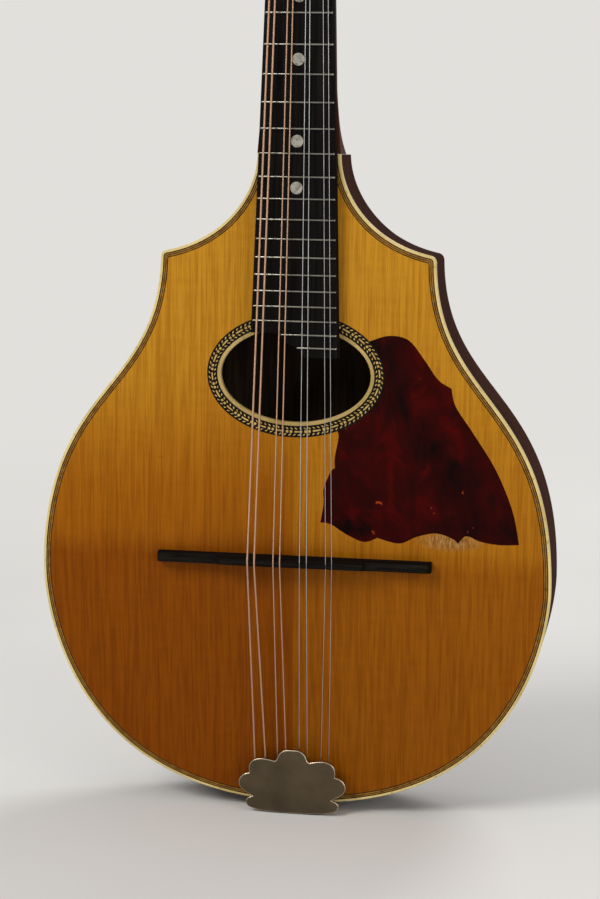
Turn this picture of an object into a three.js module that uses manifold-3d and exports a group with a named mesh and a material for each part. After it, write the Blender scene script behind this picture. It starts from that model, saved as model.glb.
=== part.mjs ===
// Cylinder back mandolin in millimetres. X runs to the treble side, Y to the back and Z up to the head.
// The construction frame has its zero on the front of the soundboard at the saddle line.
// The outer group moves the instrument so that the middle of its tailpiece's end plate is the origin.
import * as THREE from 'three';
import { mergeVertices } from 'three/addons/utils/BufferGeometryUtils.js';
import Module from 'manifold-3d';

const wasm = await Module();
wasm.setup();

// Clearances shared by all pieces
const seam = 0.1; // left between glued or inlaid faces
const fit = 0.3; // left round what slides, turns or is strung
const reach = 700; // how far a cut or a limiting block runs past the body

// Scale, frets and fingerboard
const scaleLength = 330.2;
const fretCount = 21;
const jointFret = 10;
const nutWidth = 26.6;
const boardEndWidth = 40.6;
const boardThickness = 5;
const boardOverhang = 4.47; // the board's end past the last fret
const boardEndDrop = 10.8; // how far the bass side of the board's end stops short
const boardEndShares = [[0.343, 0], [0.19, 0.04], [0.056, 0.38], [-0.155, 0.6], [-0.315, 0.84],
  [-0.376, 1], [-1, 1]];
const fretWidth = 1.1;
const fretHeight = 1;
const fretShares = [[-0.5, 0], [-0.25, 0.92], [0.25, 0.92], [0.5, 0]];
const tangWidth = 0.5;
const tangDepth = 2;
const fretSetback = 0.4; // from the board's edge to a fret's end
const lastFretsStartShares = { 20: -0.315, 21: 0.056 };
const fretStripX = 4;
const fretStripWidth = 1.6;
const dotFrets = [5, 7, 10, 12];
const dotDiameter = 5.6;
const inlayDepth = 1;
const nutThickness = 4.5;
const nutRise = 2.6; // nut's top above the board
const stringAction = 0.5; // string above the frets at the nut

// Body outline, seen from the front
const bodyWidth = 237.6;
const neckEndWidth = 38;
const cornerSpan = 126.4; // across the two shoulder points
const cornerZ = 140.3;
const cornerRound = 3;
const widestZ = -10.7;
const tailZ = -118;
const shoulderHandleShares = { neck: 0.405, cornerX: 0.669, cornerZ: 0.11 };
const sideHandleShares = [0.448, 0.608];
const tailHandleShares = [0.023, 0.987];
const shoulderSteps = 9;
const sideSteps = 12;
const tailSteps = 12;
const cornerSteps = 3;

// Body depth and shell
const topThickness = 2.6;
const cantZ = 4.9; // the crease in the soundboard
const cantAngle = THREE.MathUtils.degToRad(5);
const backThickness = 2.5;
const backDepth = 32; // back of the flat wings at the neck end
const backSlope = 0.085;
const cylinderWidth = 80;
const cylinderRise = 13;
const cylinderNeckShare = 0.1; // of the rise is left at the neck end
const cylinderFadeLength = 70;
const cylinderSteps = 12;
const ribThickness = 2.2;
const bindingWidth = 1.2;
const bindingDepth = 3;
const purflingWidth = 2.1;

// Blocks, linings and braces inside
const neckBlockWidth = 60;
const neckBlockLength = 44;
const tailBlockWidth = 56;
const tailBlockLength = 20;
const liningWidth = 5.4;
const liningDepth = 9;
const braceWidth = 6;
const topBraceDepth = 11;
const backBraceDepth = 9;
const topBraceGap = 17.3; // from the neck block to the upper top brace
const topBraceMiddleZ = 52;
const topBraceLowerZ = 16;
const backBraceUpperZ = 122;
const backBraceLowerZ = -32;

// Sound hole and its inlays, as half widths and half heights of ovals
const holeZ = 85.3;
const holeHalfWidth = 34.6;
const holeHalfHeight = 21.6;
const holeBindingWidth = 1.7;
const rosetteHalfWidth = 41;
const rosetteHalfHeight = 28.6;
const ovalSteps = 30;

// Pickguard: runs between its corners, as shares of its width and height from its lower left
const guardLeft = 12.7;
const guardBottom = 9.7;
const guardMargin = 15; // from its outer corner to the line of the body's greatest width
const guardHeight = 94.7;
const guardSteps = 2; // steps between two points of a run
const guardRunShares = [
  [[0.232, 0.971], [0.33, 1], [0.427, 0.981], [0.504, 0.894], [0.577, 0.798], [0.645, 0.757]],
  [[0.645, 0.757], [0.668, 0.672], [0.762, 0.541], [0.878, 0.369], [0.963, 0.18], [1, 0.018]],
  [[1, 0.018], [0.9, 0.014], [0.808, 0.026], [0.737, 0.05], [0.697, 0.012]],
  [[0.697, 0.012], [0.664, 0.036], [0.584, 0.057], [0.488, 0.036], [0.401, 0], [0.29, 0.023]],
  [[0.29, 0.023], [0.223, 0], [0.134, 0.033], [0.052, 0.08], [0, 0.086]],
  [[0, 0.086], [0.016, 0.181], [0.014, 0.25], [0.047, 0.333], [0.069, 0.354]],
  [[0.069, 0.354], [0.068, 0.408], [0.085, 0.502], [0.077, 0.54]],
  [[0.077, 0.54], [0.12, 0.6], [0.2, 0.8], [0.232, 0.971]],
];

// Neck and head
const neckDepthAtNut = 14;
const neckDepthAtHeel = 17;
const heelLength = 28;
const heelDepth = 32;
const heelPower = 2.6;
const shaftFullness = 2.2;
const heelFullness = 5;
const heelFlare = 4; // the heel squares up only near the body
const heelSteps = 7;
const neckSectionSteps = 12;
const headAngle = THREE.MathUtils.degToRad(14);
const headThickness = 14.5;
const headLength = 136;
const headWidth = 61;
const headFootSteps = 8;
const headCrownSteps = 12;
const headFootShares = [[0.48, 0], [0.49, 0.05], [0.72, 0.11], [0.91, 0.16], [0.94, 0.24]];
const headCrownShares = [[1, 0.84], [0.98, 0.9], [0.84, 0.94], [0.52, 0.925], [0.3, 0.95], [0, 1]];
const veneerThickness = 1.5;

// Bridge, in the frame of the canted lower top
const bridgeCentreX = 0.75;
const bridgeLength = 127.5;
const bridgeHeight = 13.2;
const bridgeFoot = -2.9; // neck side of the foot
const bridgeBaseWidth = 4.9;
const bridgeTopWidth = 2.5;
const bridgeEdgeHeight = 3;
const bridgeScoopSteps = 6;
const bridgeCrestShares = [[0, 1], [0.25, 0.995], [0.486, 0.97]];
const bridgeScoopShares = [[0.52, 0.9], [0.54, 0.66], [0.58, 0.55], [0.66, 0.51]];
const bridgeWingShares = [[0.8, 0.53], [0.95, 0.57], [0.985, 0.5], [1, 0.28], [1, 0]];

// Strings, bass to treble. Their places are shares of the spread at each stop
const thickestString = 0.95; // the thickest string
const stringShares = [1, 1, 0.695, 0.695, 0.4, 0.4, 0.295, 0.295];
const stringNames = ['g_outer', 'g_inner', 'd_outer', 'd_inner', 'a_inner', 'a_outer', 'e_inner', 'e_outer'];
const saddleHalfSpread = 20;
const saddleShares = [-0.935, -0.775, -0.34, -0.185, 0.27, 0.43, 0.87, 1.01];
const nutHalfSpread = 11.4;
const nutShares = [-0.97, -0.76, -0.34, -0.16, 0.25, 0.38, 0.82, 1];
const tailHalfSpread = 17.9;
const tailShares = [-0.94, -0.65, -0.34, -0.11, 0.22, 0.44, 0.79, 1];
const stringPostRows = [0, 1, 2, 3, 3, 2, 1, 0];
const notchDepth = 0.5;
const stringSides = 5;
const windingTurnCount = 2.5;
const windingSteps = 10; // steps in a turn
const windingGap = 0.45;
const windingHeight = 5.6; // first turn above the veneer

// Tailpiece, in the frame of the canted lower top
const tailPlateThickness = 1.2;
const tailPlateWidth = 35.6;
const tailPlateFront = -104.5;
const tailEndPlateWidth = 28;
const tailEndPlateDrop = 26;
const hookFront = -108;
const hookThickness = 1.4;
const hookWidth = 1.8;
const hookHeight = 5.4;
const hookStringHeight = 4.7;
const coverHeight = 8.8;
const coverWall = 0.8;
const coverFront = -94.5; // neck side of the middle lobe
const coverBack = -125.7;
const coverCentreX = 1.2;
const coverHalfWidth = 25.3;
const coverFlangeFront = -103.5; // the flanges grip the base plate's edges
const coverFlangeBack = -116.5;
const coverFlangeSeat = 0.5; // flanges' lower edge above the top
const coverLipSeat = 1.8; // lip's lower edge above the top, so that it clears the end plate
const coverLipHalfWidth = 14;
const coverRunShares = [
  [[0, 0], [0.138, 0.01], [0.237, 0.07], [0.285, 0.154], [0.324, 0.186]],
  [[0.324, 0.186], [0.455, 0.163], [0.613, 0.157], [0.743, 0.199], [0.806, 0.285], [0.806, 0.394]],
  [[0.806, 0.394], [0.905, 0.42], [0.988, 0.494], [1, 0.59], [0.925, 0.673], [0.751, 0.76]],
  [[0.751, 0.76], [0.838, 0.795], [0.874, 0.849], [0.838, 0.92], [0.751, 0.958]],
  [[0.751, 0.958], [0.553, 0.984], [0.316, 0.995], [0, 1]],
];

// Tuners, in a local frame: X out along the worm, Z along the post to the back, zero on the plate's back
const postSpan = 38; // between the two rows of posts
const firstPostV = 28;
const postPitch = 23.5;
const postRows = 4;
const postRadius = 3;
const postHoleFit = 0.4;
const postStickOut = 11.5;
const postChamfer = 0.3;
const postSteps = 10;
const holeSteps = 12;
const plateThickness = 1.2;
const plateWidth = 12.6;
const plateMargin = 10;
const gearTeeth = 14;
const gearPitchRadius = 3.6;
const gearFaceWidth = 2.4;
const toothReach = 0.4;
const toothDepth = 0.65;
const toothShares = { tip: 0.2, root: 0.5 };
const gearScrewRadius = 1.6;
const gearScrewHeight = 0.8;
const wormPitchRadius = 1.8;
const wormCoreRadius = 1.1;
const wormHeight = 2.6; // worm's axis behind the plate
const wormTurnCount = 2;
const wormSteps = 8;
const threadShares = { tip: 0.125, root: 0.26 };
const earOffset = 3.5;
const earThickness = 1;
const earHalfWidth = 2.4;
const earFit = 0.35;
const shaftSteps = 8;
const knobStart = 14.5;
const knobLength = 12.5;
const knobWidth = 16;
const knobThickness = 7;
const knobCollarRadius = 1.9;
const knobCollarLength = 2.6;
const knobCollarShare = 0.25; // share of the knob that the collar runs into
const knobRings = 5;

// Places that follow from the sizes
const fretZ = (fret) => scaleLength * 2 ** (-fret / 12);
const jointZ = fretZ(jointFret);
const nutZ = scaleLength;
const headZ = nutZ + nutThickness;
const boardEndZ = fretZ(fretCount) - boardOverhang;
const boardFront = -(boardThickness + seam);
const boardHalfWidth = (z) => THREE.MathUtils.mapLinear(z, boardEndZ, nutZ, boardEndWidth, nutWidth) / 2;
const endPlateZ = tailZ - seam - tailPlateThickness;
const veneerFront = seam + veneerThickness;
const plateBack = -(headThickness + seam + plateThickness);
const gearTipRadius = gearPitchRadius + toothReach;
const gearRootRadius = gearPitchRadius - toothDepth;
const wormTipRadius = wormPitchRadius + toothReach;
const wormY = gearPitchRadius + wormPitchRadius;
const wormPitch = 2 * Math.PI * gearPitchRadius / gearTeeth;
const guardWidth = bodyWidth / 2 - guardMargin - guardLeft;
const purflingOuter = bindingWidth + seam;
const purflingInner = purflingOuter + purflingWidth;
const stringDiameters = stringShares.map((share) => thickestString * share);
const topBraces = {
  top_brace_upper: jointZ - neckBlockLength - topBraceGap,
  top_brace_middle: topBraceMiddleZ,
  top_brace_lower: topBraceLowerZ,
};
const backBraces = { back_brace_upper: backBraceUpperZ, back_brace_lower: backBraceLowerZ };
const tailFrame = new THREE.Matrix4().makeRotationX(cantAngle).setPosition(0, 0, cantZ);
const plateSurface = -(seam + tailPlateThickness);
const tailPlateEdge = (endPlateZ - cantZ + seam * Math.sin(cantAngle)) / Math.cos(cantAngle);
const plateCorner = new THREE.Vector3(0, plateSurface, tailPlateEdge).applyMatrix4(tailFrame);
const endPlateMiddleY = plateCorner.y + tailEndPlateDrop / 2;
const headFrame = new THREE.Matrix4().makeRotationX(Math.PI / 2 - headAngle).setPosition(0, 0, headZ);

const materials = {
  spruce: [0xa26415, 0.35, 0],
  mahogany: [0x4a2218, 0.35, 0],
  mahoganyBare: [0x8a5a3a, 0.8, 0],
  spruceBare: [0xd8b98a, 0.8, 0],
  binding: [0xdfc98c, 0.4, 0],
  purfling: [0x5a3b1c, 0.45, 0],
  marquetry: [0x3a2a1a, 0.4, 0],
  tortoise: [0x3a0e06, 0.2, 0],
  ebony: [0x16110f, 0.5, 0],
  nickel: [0xb8b2a6, 0.3, 1],
  steel: [0xc9c9c9, 0.25, 1],
  bronze: [0xb07a48, 0.35, 1],
  pearl: [0xe6e2d6, 0.25, 0],
  bone: [0xe8dfc6, 0.45, 0],
  ivoroid: [0xe9dcb4, 0.35, 0],
};

function materialOf(name) {
  const [color, roughness, metalness] = materials[name];
  return new THREE.MeshStandardMaterial({ color, roughness, metalness });
}

// Solids and geometries

function solidOf(geometry) {
  const bare = geometry.clone();
  bare.deleteAttribute('normal');
  bare.deleteAttribute('uv');
  const welded = mergeVertices(bare);
  const vertProperties = new Float32Array(welded.attributes.position.array);
  const triVerts = new Uint32Array(welded.index.array);
  return new wasm.Manifold(new wasm.Mesh({ numProp: 3, vertProperties, triVerts }));
}

function geometryOf(solid) {
  const mesh = solid.getMesh();
  const geometry = new THREE.BufferGeometry();
  geometry.setAttribute('position', new THREE.BufferAttribute(new Float32Array(mesh.vertProperties), 3));
  geometry.setIndex(new THREE.BufferAttribute(new Uint32Array(mesh.triVerts), 1));
  geometry.computeVertexNormals();
  return geometry;
}

function block(x0, x1, y0, y1, z0, z1) {
  const geometry = new THREE.BoxGeometry(x1 - x0, y1 - y0, z1 - z0);
  geometry.translate((x0 + x1) / 2, (y0 + y1) / 2, (z0 + z1) / 2);
  return solidOf(geometry);
}

// A flat outline in X and Z, run through from its front to its back
function slab(points, front, back) {
  const geometry = new THREE.ExtrudeGeometry(new THREE.Shape(points), {
    depth: back - front,
    bevelEnabled: false,
  });
  geometry.rotateX(Math.PI / 2);
  geometry.translate(0, back, 0);
  return solidOf(geometry);
}

// A profile in Y and Z, run along X
function barAlongX(points, x0, x1) {
  const shape = new THREE.Shape(points);
  const geometry = new THREE.ExtrudeGeometry(shape, { depth: x1 - x0, bevelEnabled: false });
  const turn = new THREE.Matrix4().makeBasis(
    new THREE.Vector3(0, 1, 0),
    new THREE.Vector3(0, 0, 1),
    new THREE.Vector3(1, 0, 0),
  );
  geometry.applyMatrix4(turn);
  geometry.translate(x0, 0, 0);
  return solidOf(geometry);
}

// An outline in X and Y, run along Z
function prism(points, z0, z1) {
  const shape = new THREE.Shape(points);
  const geometry = new THREE.ExtrudeGeometry(shape, { depth: z1 - z0, bevelEnabled: false });
  geometry.translate(0, 0, z0);
  return solidOf(geometry);
}

// A turned piece on the Z axis from its radii and heights
function turned(profile, steps) {
  const points = profile.map(([radius, height]) => new THREE.Vector2(radius, height));
  const geometry = new THREE.LatheGeometry(points, steps);
  geometry.rotateX(Math.PI / 2);
  return outward(geometry);
}

// Turns a closed mesh's faces outward and makes it a solid
function outward(geometry) {
  const bare = geometry.clone();
  bare.deleteAttribute('normal');
  bare.deleteAttribute('uv');
  const welded = mergeVertices(bare);
  const corners = [new THREE.Vector3(), new THREE.Vector3(), new THREE.Vector3()];
  const order = welded.index.array;
  let volume = 0;
  for (let i = 0; i < order.length; i += 3) {
    corners.forEach((corner, k) => corner.fromBufferAttribute(welded.attributes.position, order[i + k]));
    volume += corners[0].dot(corners[1].cross(corners[2]));
  }
  if (volume < 0) {
    for (let i = 0; i < order.length; i += 3) {
      [order[i], order[i + 1]] = [order[i + 1], order[i]];
    }
  }
  return solidOf(welded);
}

// A closed skin over rings of equally many points, with fans over its ends
function loft(rings) {
  const count = rings[0].length;
  const index = [];
  for (let r = 0; r < rings.length - 1; r++) {
    for (let k = 0; k < count; k++) {
      const a = r * count + k;
      const b = r * count + (k + 1) % count;
      index.push(a, b, b + count, a, b + count, a + count);
    }
  }
  const last = (rings.length - 1) * count;
  for (let k = 1; k < count - 1; k++) {
    index.push(0, k + 1, k, last, last + k, last + k + 1);
  }
  const geometry = new THREE.BufferGeometry().setFromPoints(rings.flat());
  geometry.setIndex(index);
  return outward(geometry);
}

function placed(solid, matrix) {
  const geometry = geometryOf(solid);
  geometry.applyMatrix4(matrix);
  return solidOf(geometry);
}

// Folds the part of a solid below the crease back along the canted plane
function canted(solid) {
  const upper = solid.intersect(block(-reach, reach, -reach, reach, cantZ, reach));
  const lower = solid.intersect(block(-reach, reach, -reach, reach, -reach, cantZ));
  const slope = Math.tan(cantAngle);
  const fold = new THREE.Matrix4().set(1, 0, 0, 0, 0, 1, -slope, cantZ * slope, 0, 0, 1, 0, 0, 0, 0, 1);
  return upper.add(placed(lower, fold));
}

// Outlines

const point = (x, y) => new THREE.Vector2(x, y);
const mirrored = (half) => half.slice(0, -1).reverse().map((p) => point(-p.x, p.y));

function insetRun(curve, steps, inset) {
  const run = [];
  for (let i = 0; i <= steps; i++) {
    const place = curve.getPoint(i / steps);
    const heading = curve.getTangent(i / steps);
    run.push(point(place.x + heading.y * inset, place.y - heading.x * inset));
  }
  return run;
}

// Where two segments cross, as a share of the first one, or null
function crossing(a, b, c, d) {
  const along = b.clone().sub(a);
  const across = d.clone().sub(c);
  const between = c.clone().sub(a);
  const scale = along.cross(across);
  const first = between.cross(across) / scale;
  const second = between.cross(along) / scale;
  const slackShare = 1e-6;
  const inside = [first, second].every((share) => share >= -slackShare && share <= 1 + slackShare);
  return inside ? first : null;
}

// Cuts two runs where they cross and rounds the corner there
function joinRuns(first, second, round) {
  for (let i = first.length - 2; i >= 0; i--) {
    for (let j = 0; j < second.length - 1; j++) {
      const share = crossing(first[i], first[i + 1], second[j], second[j + 1]);
      if (share !== null) {
        const corner = first[i].clone().lerp(first[i + 1], share);
        const clear = (p) => p.distanceTo(corner) > round + seam;
        const before = first.slice(0, i + 1).filter(clear);
        const after = second.slice(j + 1).filter(clear);
        return [...before, ...roundedCorner(before.at(-1), corner, after[0], round), ...after];
      }
    }
  }
  return [...first, ...second];
}

function roundedCorner(before, corner, after, round) {
  if (round <= seam) {
    return [corner];
  }
  const start = corner.clone().add(before.clone().sub(corner).setLength(round));
  const end = corner.clone().add(after.clone().sub(corner).setLength(round));
  return new THREE.QuadraticBezierCurve(start, corner, end).getPoints(cornerSteps);
}

// Treble half of the body's outline from the neck to the tail, drawn in by an inset
function bodyHalf(inset) {
  const neckX = neckEndWidth / 2;
  const cornerX = cornerSpan / 2;
  const widestX = bodyWidth / 2;
  const drop = cornerZ - widestZ;
  const fall = widestZ - tailZ;
  const corner = point(cornerX, cornerZ);
  const shoulders = shoulderHandleShares;
  const shoulder = new THREE.CubicBezierCurve(
    point(neckX, jointZ),
    point(neckX, jointZ - (jointZ - cornerZ) * shoulders.neck),
    point(cornerX - (cornerX - neckX) * shoulders.cornerX, cornerZ + (jointZ - cornerZ) * shoulders.cornerZ),
    corner,
  );
  const side = new THREE.CubicBezierCurve(
    corner,
    point(cornerX, cornerZ - drop * sideHandleShares[0]),
    point(widestX, widestZ + drop * sideHandleShares[1]),
    point(widestX, widestZ),
  );
  const lower = new THREE.CubicBezierCurve(
    point(widestX, widestZ),
    point(widestX, widestZ - fall * tailHandleShares[0]),
    point(widestX * tailHandleShares[1], tailZ),
    point(0, tailZ),
  );
  const flank = [...insetRun(side, sideSteps, inset), ...insetRun(lower, tailSteps, inset).slice(1)];
  return joinRuns(insetRun(shoulder, shoulderSteps, inset), flank, cornerRound - inset);
}

function bodyLoop(inset) {
  const half = bodyHalf(inset);
  return [...half, ...mirrored(half)];
}

// A band that follows the body from one side of the neck round the tail to the other
function bodyBand(outerInset, innerInset) {
  return [...bodyLoop(outerInset), ...bodyLoop(innerInset).reverse()];
}

function oval(halfWidth, halfHeight) {
  const curve = new THREE.EllipseCurve(0, holeZ, halfWidth, halfHeight);
  return curve.getPoints(ovalSteps).slice(1);
}

function ovalRing(inner, outer, depth) {
  const ring = slab(oval(outer[0], outer[1]), 0, depth);
  return ring.subtract(slab(oval(inner[0], inner[1]), -reach, reach));
}

function runsOf(shares, place, steps) {
  const points = [];
  for (const run of shares) {
    const curve = new THREE.SplineCurve(run.map(([across, up]) => place(across, up)));
    points.push(...curve.getPoints((run.length - 1) * steps).slice(1));
  }
  return points;
}

function grown(points, distance) {
  return points.map((p, i) => {
    const before = points.at(i - 1);
    const after = points[(i + 1) % points.length];
    const heading = after.clone().sub(before).normalize();
    return point(p.x - heading.y * distance, p.y + heading.x * distance);
  });
}

// The back: flat wings with a cylinder between them that swells from the neck end, all leaning back

function archAt(x) {
  const half = cylinderWidth / 2;
  const radius = (half ** 2 + cylinderRise ** 2) / (2 * cylinderRise);
  return Math.abs(x) < half ? Math.sqrt(radius ** 2 - x ** 2) - (radius - cylinderRise) : 0;
}

function backLine(shift) {
  const line = [point(-reach, shift)];
  for (let i = 0; i <= cylinderSteps; i++) {
    const x = cylinderWidth * (i / cylinderSteps - 0.5);
    line.push(point(x, shift + archAt(x)));
  }
  line.push(point(reach, shift));
  return line;
}

// What lies in front of a surface that keeps a shift from the back's outer face
function inFrontOf(shift) {
  const profile = [...backLine(shift), point(reach, -reach), point(-reach, -reach)];
  const start = backDepth + jointZ * backSlope;
  const lean = new THREE.Matrix4().set(1, 0, 0, 0, 0, 1, -backSlope, start, 0, 0, 1, 0, 0, 0, 0, 1);
  const fadeStart = jointZ - cylinderFadeLength;
  const fading = prism(profile, fadeStart, jointZ + seam).warp((vertex) => {
    const share = (vertex[2] - fadeStart) / cylinderFadeLength;
    vertex[1] -= archAt(vertex[0]) * (1 - cylinderNeckShare) * share;
  });
  return placed(prism(profile, -reach, fadeStart).add(fading), lean);
}

function backStrip(frontShift, backShift) {
  return inFrontOf(backShift).subtract(inFrontOf(frontShift));
}

const underBack = inFrontOf(-(backThickness + seam));
const insideInset = ribThickness + seam;
const trebleSide = block(seam / 2, reach, -reach, reach, -reach, reach);
const bassSide = block(-reach, -seam / 2, -reach, reach, -reach, reach);

function blockZone(clearance) {
  const neckEnd = block(
    -neckBlockWidth / 2 - clearance, neckBlockWidth / 2 + clearance, -reach, reach,
    jointZ - neckBlockLength - clearance, jointZ - seam + clearance,
  );
  const tailEnd = block(
    -tailBlockWidth / 2 - clearance, tailBlockWidth / 2 + clearance, -reach, reach,
    -reach, tailZ + tailBlockLength + clearance,
  );
  return { neckEnd, tailEnd };
}

// Body pieces

function makeSoundboard() {
  const ledge = slab(bodyLoop(purflingOuter), inlayDepth + seam, topThickness);
  const face = slab(bodyLoop(purflingInner + seam), 0, topThickness);
  const bound = holeBindingWidth + seam;
  const hole = slab(oval(holeHalfWidth + bound, holeHalfHeight + bound), -reach, reach);
  const rosetteBed = slab(oval(rosetteHalfWidth + seam, rosetteHalfHeight + seam), -reach, inlayDepth + seam);
  const guardBed = slab(grown(guardOutline(), seam), -reach, inlayDepth + seam);
  return canted(face.add(ledge).subtract(hole).subtract(rosetteBed).subtract(guardBed));
}

function guardOutline() {
  const place = (across, up) => point(guardLeft + guardWidth * across, guardBottom + guardHeight * up);
  return runsOf(guardRunShares, place, guardSteps);
}

function makePickguard() {
  const rosetteEdge = slab(oval(rosetteHalfWidth + 2 * seam, rosetteHalfHeight + 2 * seam), -reach, reach);
  const topEdge = slab(bodyLoop(purflingInner + seam), -reach, reach);
  return slab(guardOutline(), 0, inlayDepth).subtract(rosetteEdge).intersect(topEdge);
}

function makeRosette() {
  const bound = holeBindingWidth + 2 * seam;
  const inner = [holeHalfWidth + bound, holeHalfHeight + bound];
  return ovalRing(inner, [rosetteHalfWidth, rosetteHalfHeight], inlayDepth);
}

function makeHoleBinding() {
  const outer = [holeHalfWidth + holeBindingWidth, holeHalfHeight + holeBindingWidth];
  return ovalRing([holeHalfWidth, holeHalfHeight], outer, topThickness);
}

function makeRib(side) {
  const wall = canted(slab(bodyBand(0, ribThickness), bindingDepth + seam, reach));
  return wall.intersect(underBack).intersect(side);
}

function makeBack() {
  return slab(bodyLoop(0), 0, reach).intersect(backStrip(-backThickness, 0));
}

function makeBlock(end) {
  const core = canted(slab(bodyLoop(insideInset), topThickness + seam, reach));
  return core.intersect(underBack).intersect(blockZone(0)[end]);
}

function makeLining(atBack, side) {
  const outline = bodyBand(insideInset, insideInset + liningWidth);
  const skin = backThickness + seam;
  const { neckEnd, tailEnd } = blockZone(fit);
  const strip = atBack
    ? slab(outline, 0, reach).intersect(backStrip(-skin - liningDepth, -skin))
    : canted(slab(outline, topThickness + seam, topThickness + liningDepth));
  return strip.subtract(neckEnd).subtract(tailEnd).intersect(side);
}

function braceZone(z) {
  const inside = bodyLoop(insideInset + liningWidth + fit);
  return slab(inside, 0, reach).intersect(
    block(-reach, reach, -reach, reach, z - braceWidth / 2, z + braceWidth / 2),
  );
}

function makeTopBrace(z) {
  const depth = block(-reach, reach, topThickness + seam, topThickness + topBraceDepth, -reach, reach);
  return braceZone(z).intersect(depth);
}

function makeBackBrace(z) {
  const skin = backThickness + seam;
  return braceZone(z).intersect(backStrip(-skin - backBraceDepth, -skin));
}

// Neck, head and fingerboard

function neckSection(z) {
  const heelShare = Math.max(0, 1 - (z - jointZ) / heelLength);
  const shaft = THREE.MathUtils.mapLinear(z, jointZ, nutZ, neckDepthAtHeel, neckDepthAtNut);
  const depth = shaft + (heelDepth - shaft) * heelShare ** heelPower;
  const widening = (neckEndWidth / 2 - boardHalfWidth(jointZ)) * heelShare;
  const half = boardHalfWidth(z) + widening;
  const power = 2 / THREE.MathUtils.lerp(shaftFullness, heelFullness, heelShare ** heelFlare);
  const ring = [];
  for (let k = 0; k <= neckSectionSteps; k++) {
    const angle = Math.PI * k / neckSectionSteps;
    const across = Math.sign(Math.cos(angle)) * Math.abs(Math.cos(angle)) ** power;
    const back = Math.max(0, Math.sin(angle)) ** power;
    ring.push(new THREE.Vector3(half * across, depth * (k === neckSectionSteps ? 0 : back), z));
  }
  return ring;
}

function headOutline() {
  const place = (across, up) => point(headWidth / 2 * across, headLength * up);
  const foot = new THREE.SplineCurve(headFootShares.map(([across, up]) => place(across, up)));
  const crown = new THREE.SplineCurve(headCrownShares.map(([across, up]) => place(across, up)));
  const half = [...foot.getPoints(headFootSteps), ...crown.getPoints(headCrownSteps)];
  half.at(-1).x = 0;
  return [...half, ...mirrored(half)];
}

function eachPost(make) {
  const rows = [];
  for (let row = 0; row < postRows; row++) {
    rows.push(make(firstPostV + postPitch * row, row));
  }
  return rows;
}

function postHoles() {
  const radius = postRadius + postHoleFit;
  const holes = [];
  for (const side of [-1, 1]) {
    eachPost((v) => {
      const curve = new THREE.EllipseCurve(side * postSpan / 2, v, radius, radius);
      holes.push(prism(curve.getPoints(holeSteps).slice(1), -reach, reach));
    });
  }
  return holes;
}

function makeNeck() {
  const stations = [jointZ + seam];
  for (let i = 1; i <= heelSteps; i++) {
    stations.push(jointZ + heelLength * i / heelSteps);
  }
  stations.push(headZ);
  let head = prism(headOutline(), -headThickness, 0);
  postHoles().forEach((hole) => {
    head = head.subtract(hole);
  });
  return loft(stations.map(neckSection)).add(placed(head, headFrame));
}

function makeVeneer() {
  let veneer = prism(headOutline().map((p) => point(p.x, Math.max(p.y, seam))), seam, veneerFront);
  postHoles().forEach((hole) => {
    veneer = veneer.subtract(hole);
  });
  return veneer;
}

function boardOutline() {
  const top = nutZ - seam;
  const endX = boardEndWidth / 2;
  const end = boardEndShares.map(([across, up]) => point(endX * across, boardEndZ + boardEndDrop * up));
  end.at(-1).x = -boardHalfWidth(boardEndZ + boardEndDrop);
  return [point(-nutWidth / 2, top), point(nutWidth / 2, top), point(endX, boardEndZ), ...end];
}

function fretSpan(fret) {
  const half = boardHalfWidth(fretZ(fret)) - fretSetback;
  const start = lastFretsStartShares[fret];
  return [start === undefined ? -half : start * boardEndWidth / 2, half];
}

function eachFret(make) {
  for (let fret = 1; fret <= fretCount; fret++) {
    make(fretZ(fret), ...fretSpan(fret));
  }
}

function makeFingerboard() {
  let board = slab(boardOutline(), boardFront, -seam);
  eachFret((z, x0, x1) => {
    const half = tangWidth / 2 + seam;
    board = board.subtract(
      block(x0 - seam, x1 + seam, -reach, boardFront + tangDepth + seam, z - half, z + half),
    );
  });
  for (const fret of dotFrets) {
    board = board.subtract(makeDot(fret, seam, -reach));
  }
  const half = fretStripWidth / 2 + seam;
  const stripTop = boardFront + tangDepth - fit;
  return board.subtract(block(
    fretStripX - half, fretStripX + half, stripTop, reach,
    fretZ(fretCount) - fretWidth, fretZ(1) + fretWidth,
  ));
}

function makeFrets() {
  const tang = tangWidth / 2;
  const strip = block(
    fretStripX - fretStripWidth / 2, fretStripX + fretStripWidth / 2,
    boardFront + tangDepth - fit + seam, -2 * seam,
    fretZ(fretCount) - tang, fretZ(1) + tang,
  );
  let frets = strip;
  eachFret((z, x0, x1) => {
    const base = boardFront - seam;
    const crown = fretShares.map(([across, up]) => point(base - fretHeight * up, z + fretWidth * across));
    const deep = boardFront + tangDepth;
    const foot = [[base, tang], [deep, tang], [deep, -tang], [base, -tang]];
    const profile = [...crown, ...foot.map(([y, side]) => point(y, z + side))];
    frets = frets.add(barAlongX(profile, x0, x1));
  });
  return frets;
}

function makeDot(fret, clearance, front) {
  const radius = dotDiameter / 2 + clearance;
  const middle = (fretZ(fret) + fretZ(fret - 1)) / 2;
  const curve = new THREE.EllipseCurve(0, middle, radius, radius);
  return slab(curve.getPoints(holeSteps).slice(1), front, boardFront + inlayDepth + clearance);
}

// Strings rest in notches of the nut and the bridge

const nutNotchY = boardFront - seam - fretHeight - stringAction;
const nutX = (string) => nutHalfSpread * nutShares[string];
const saddleX = (string) => saddleHalfSpread * saddleShares[string];
const tailX = (string) => tailHalfSpread * tailShares[string];

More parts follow.
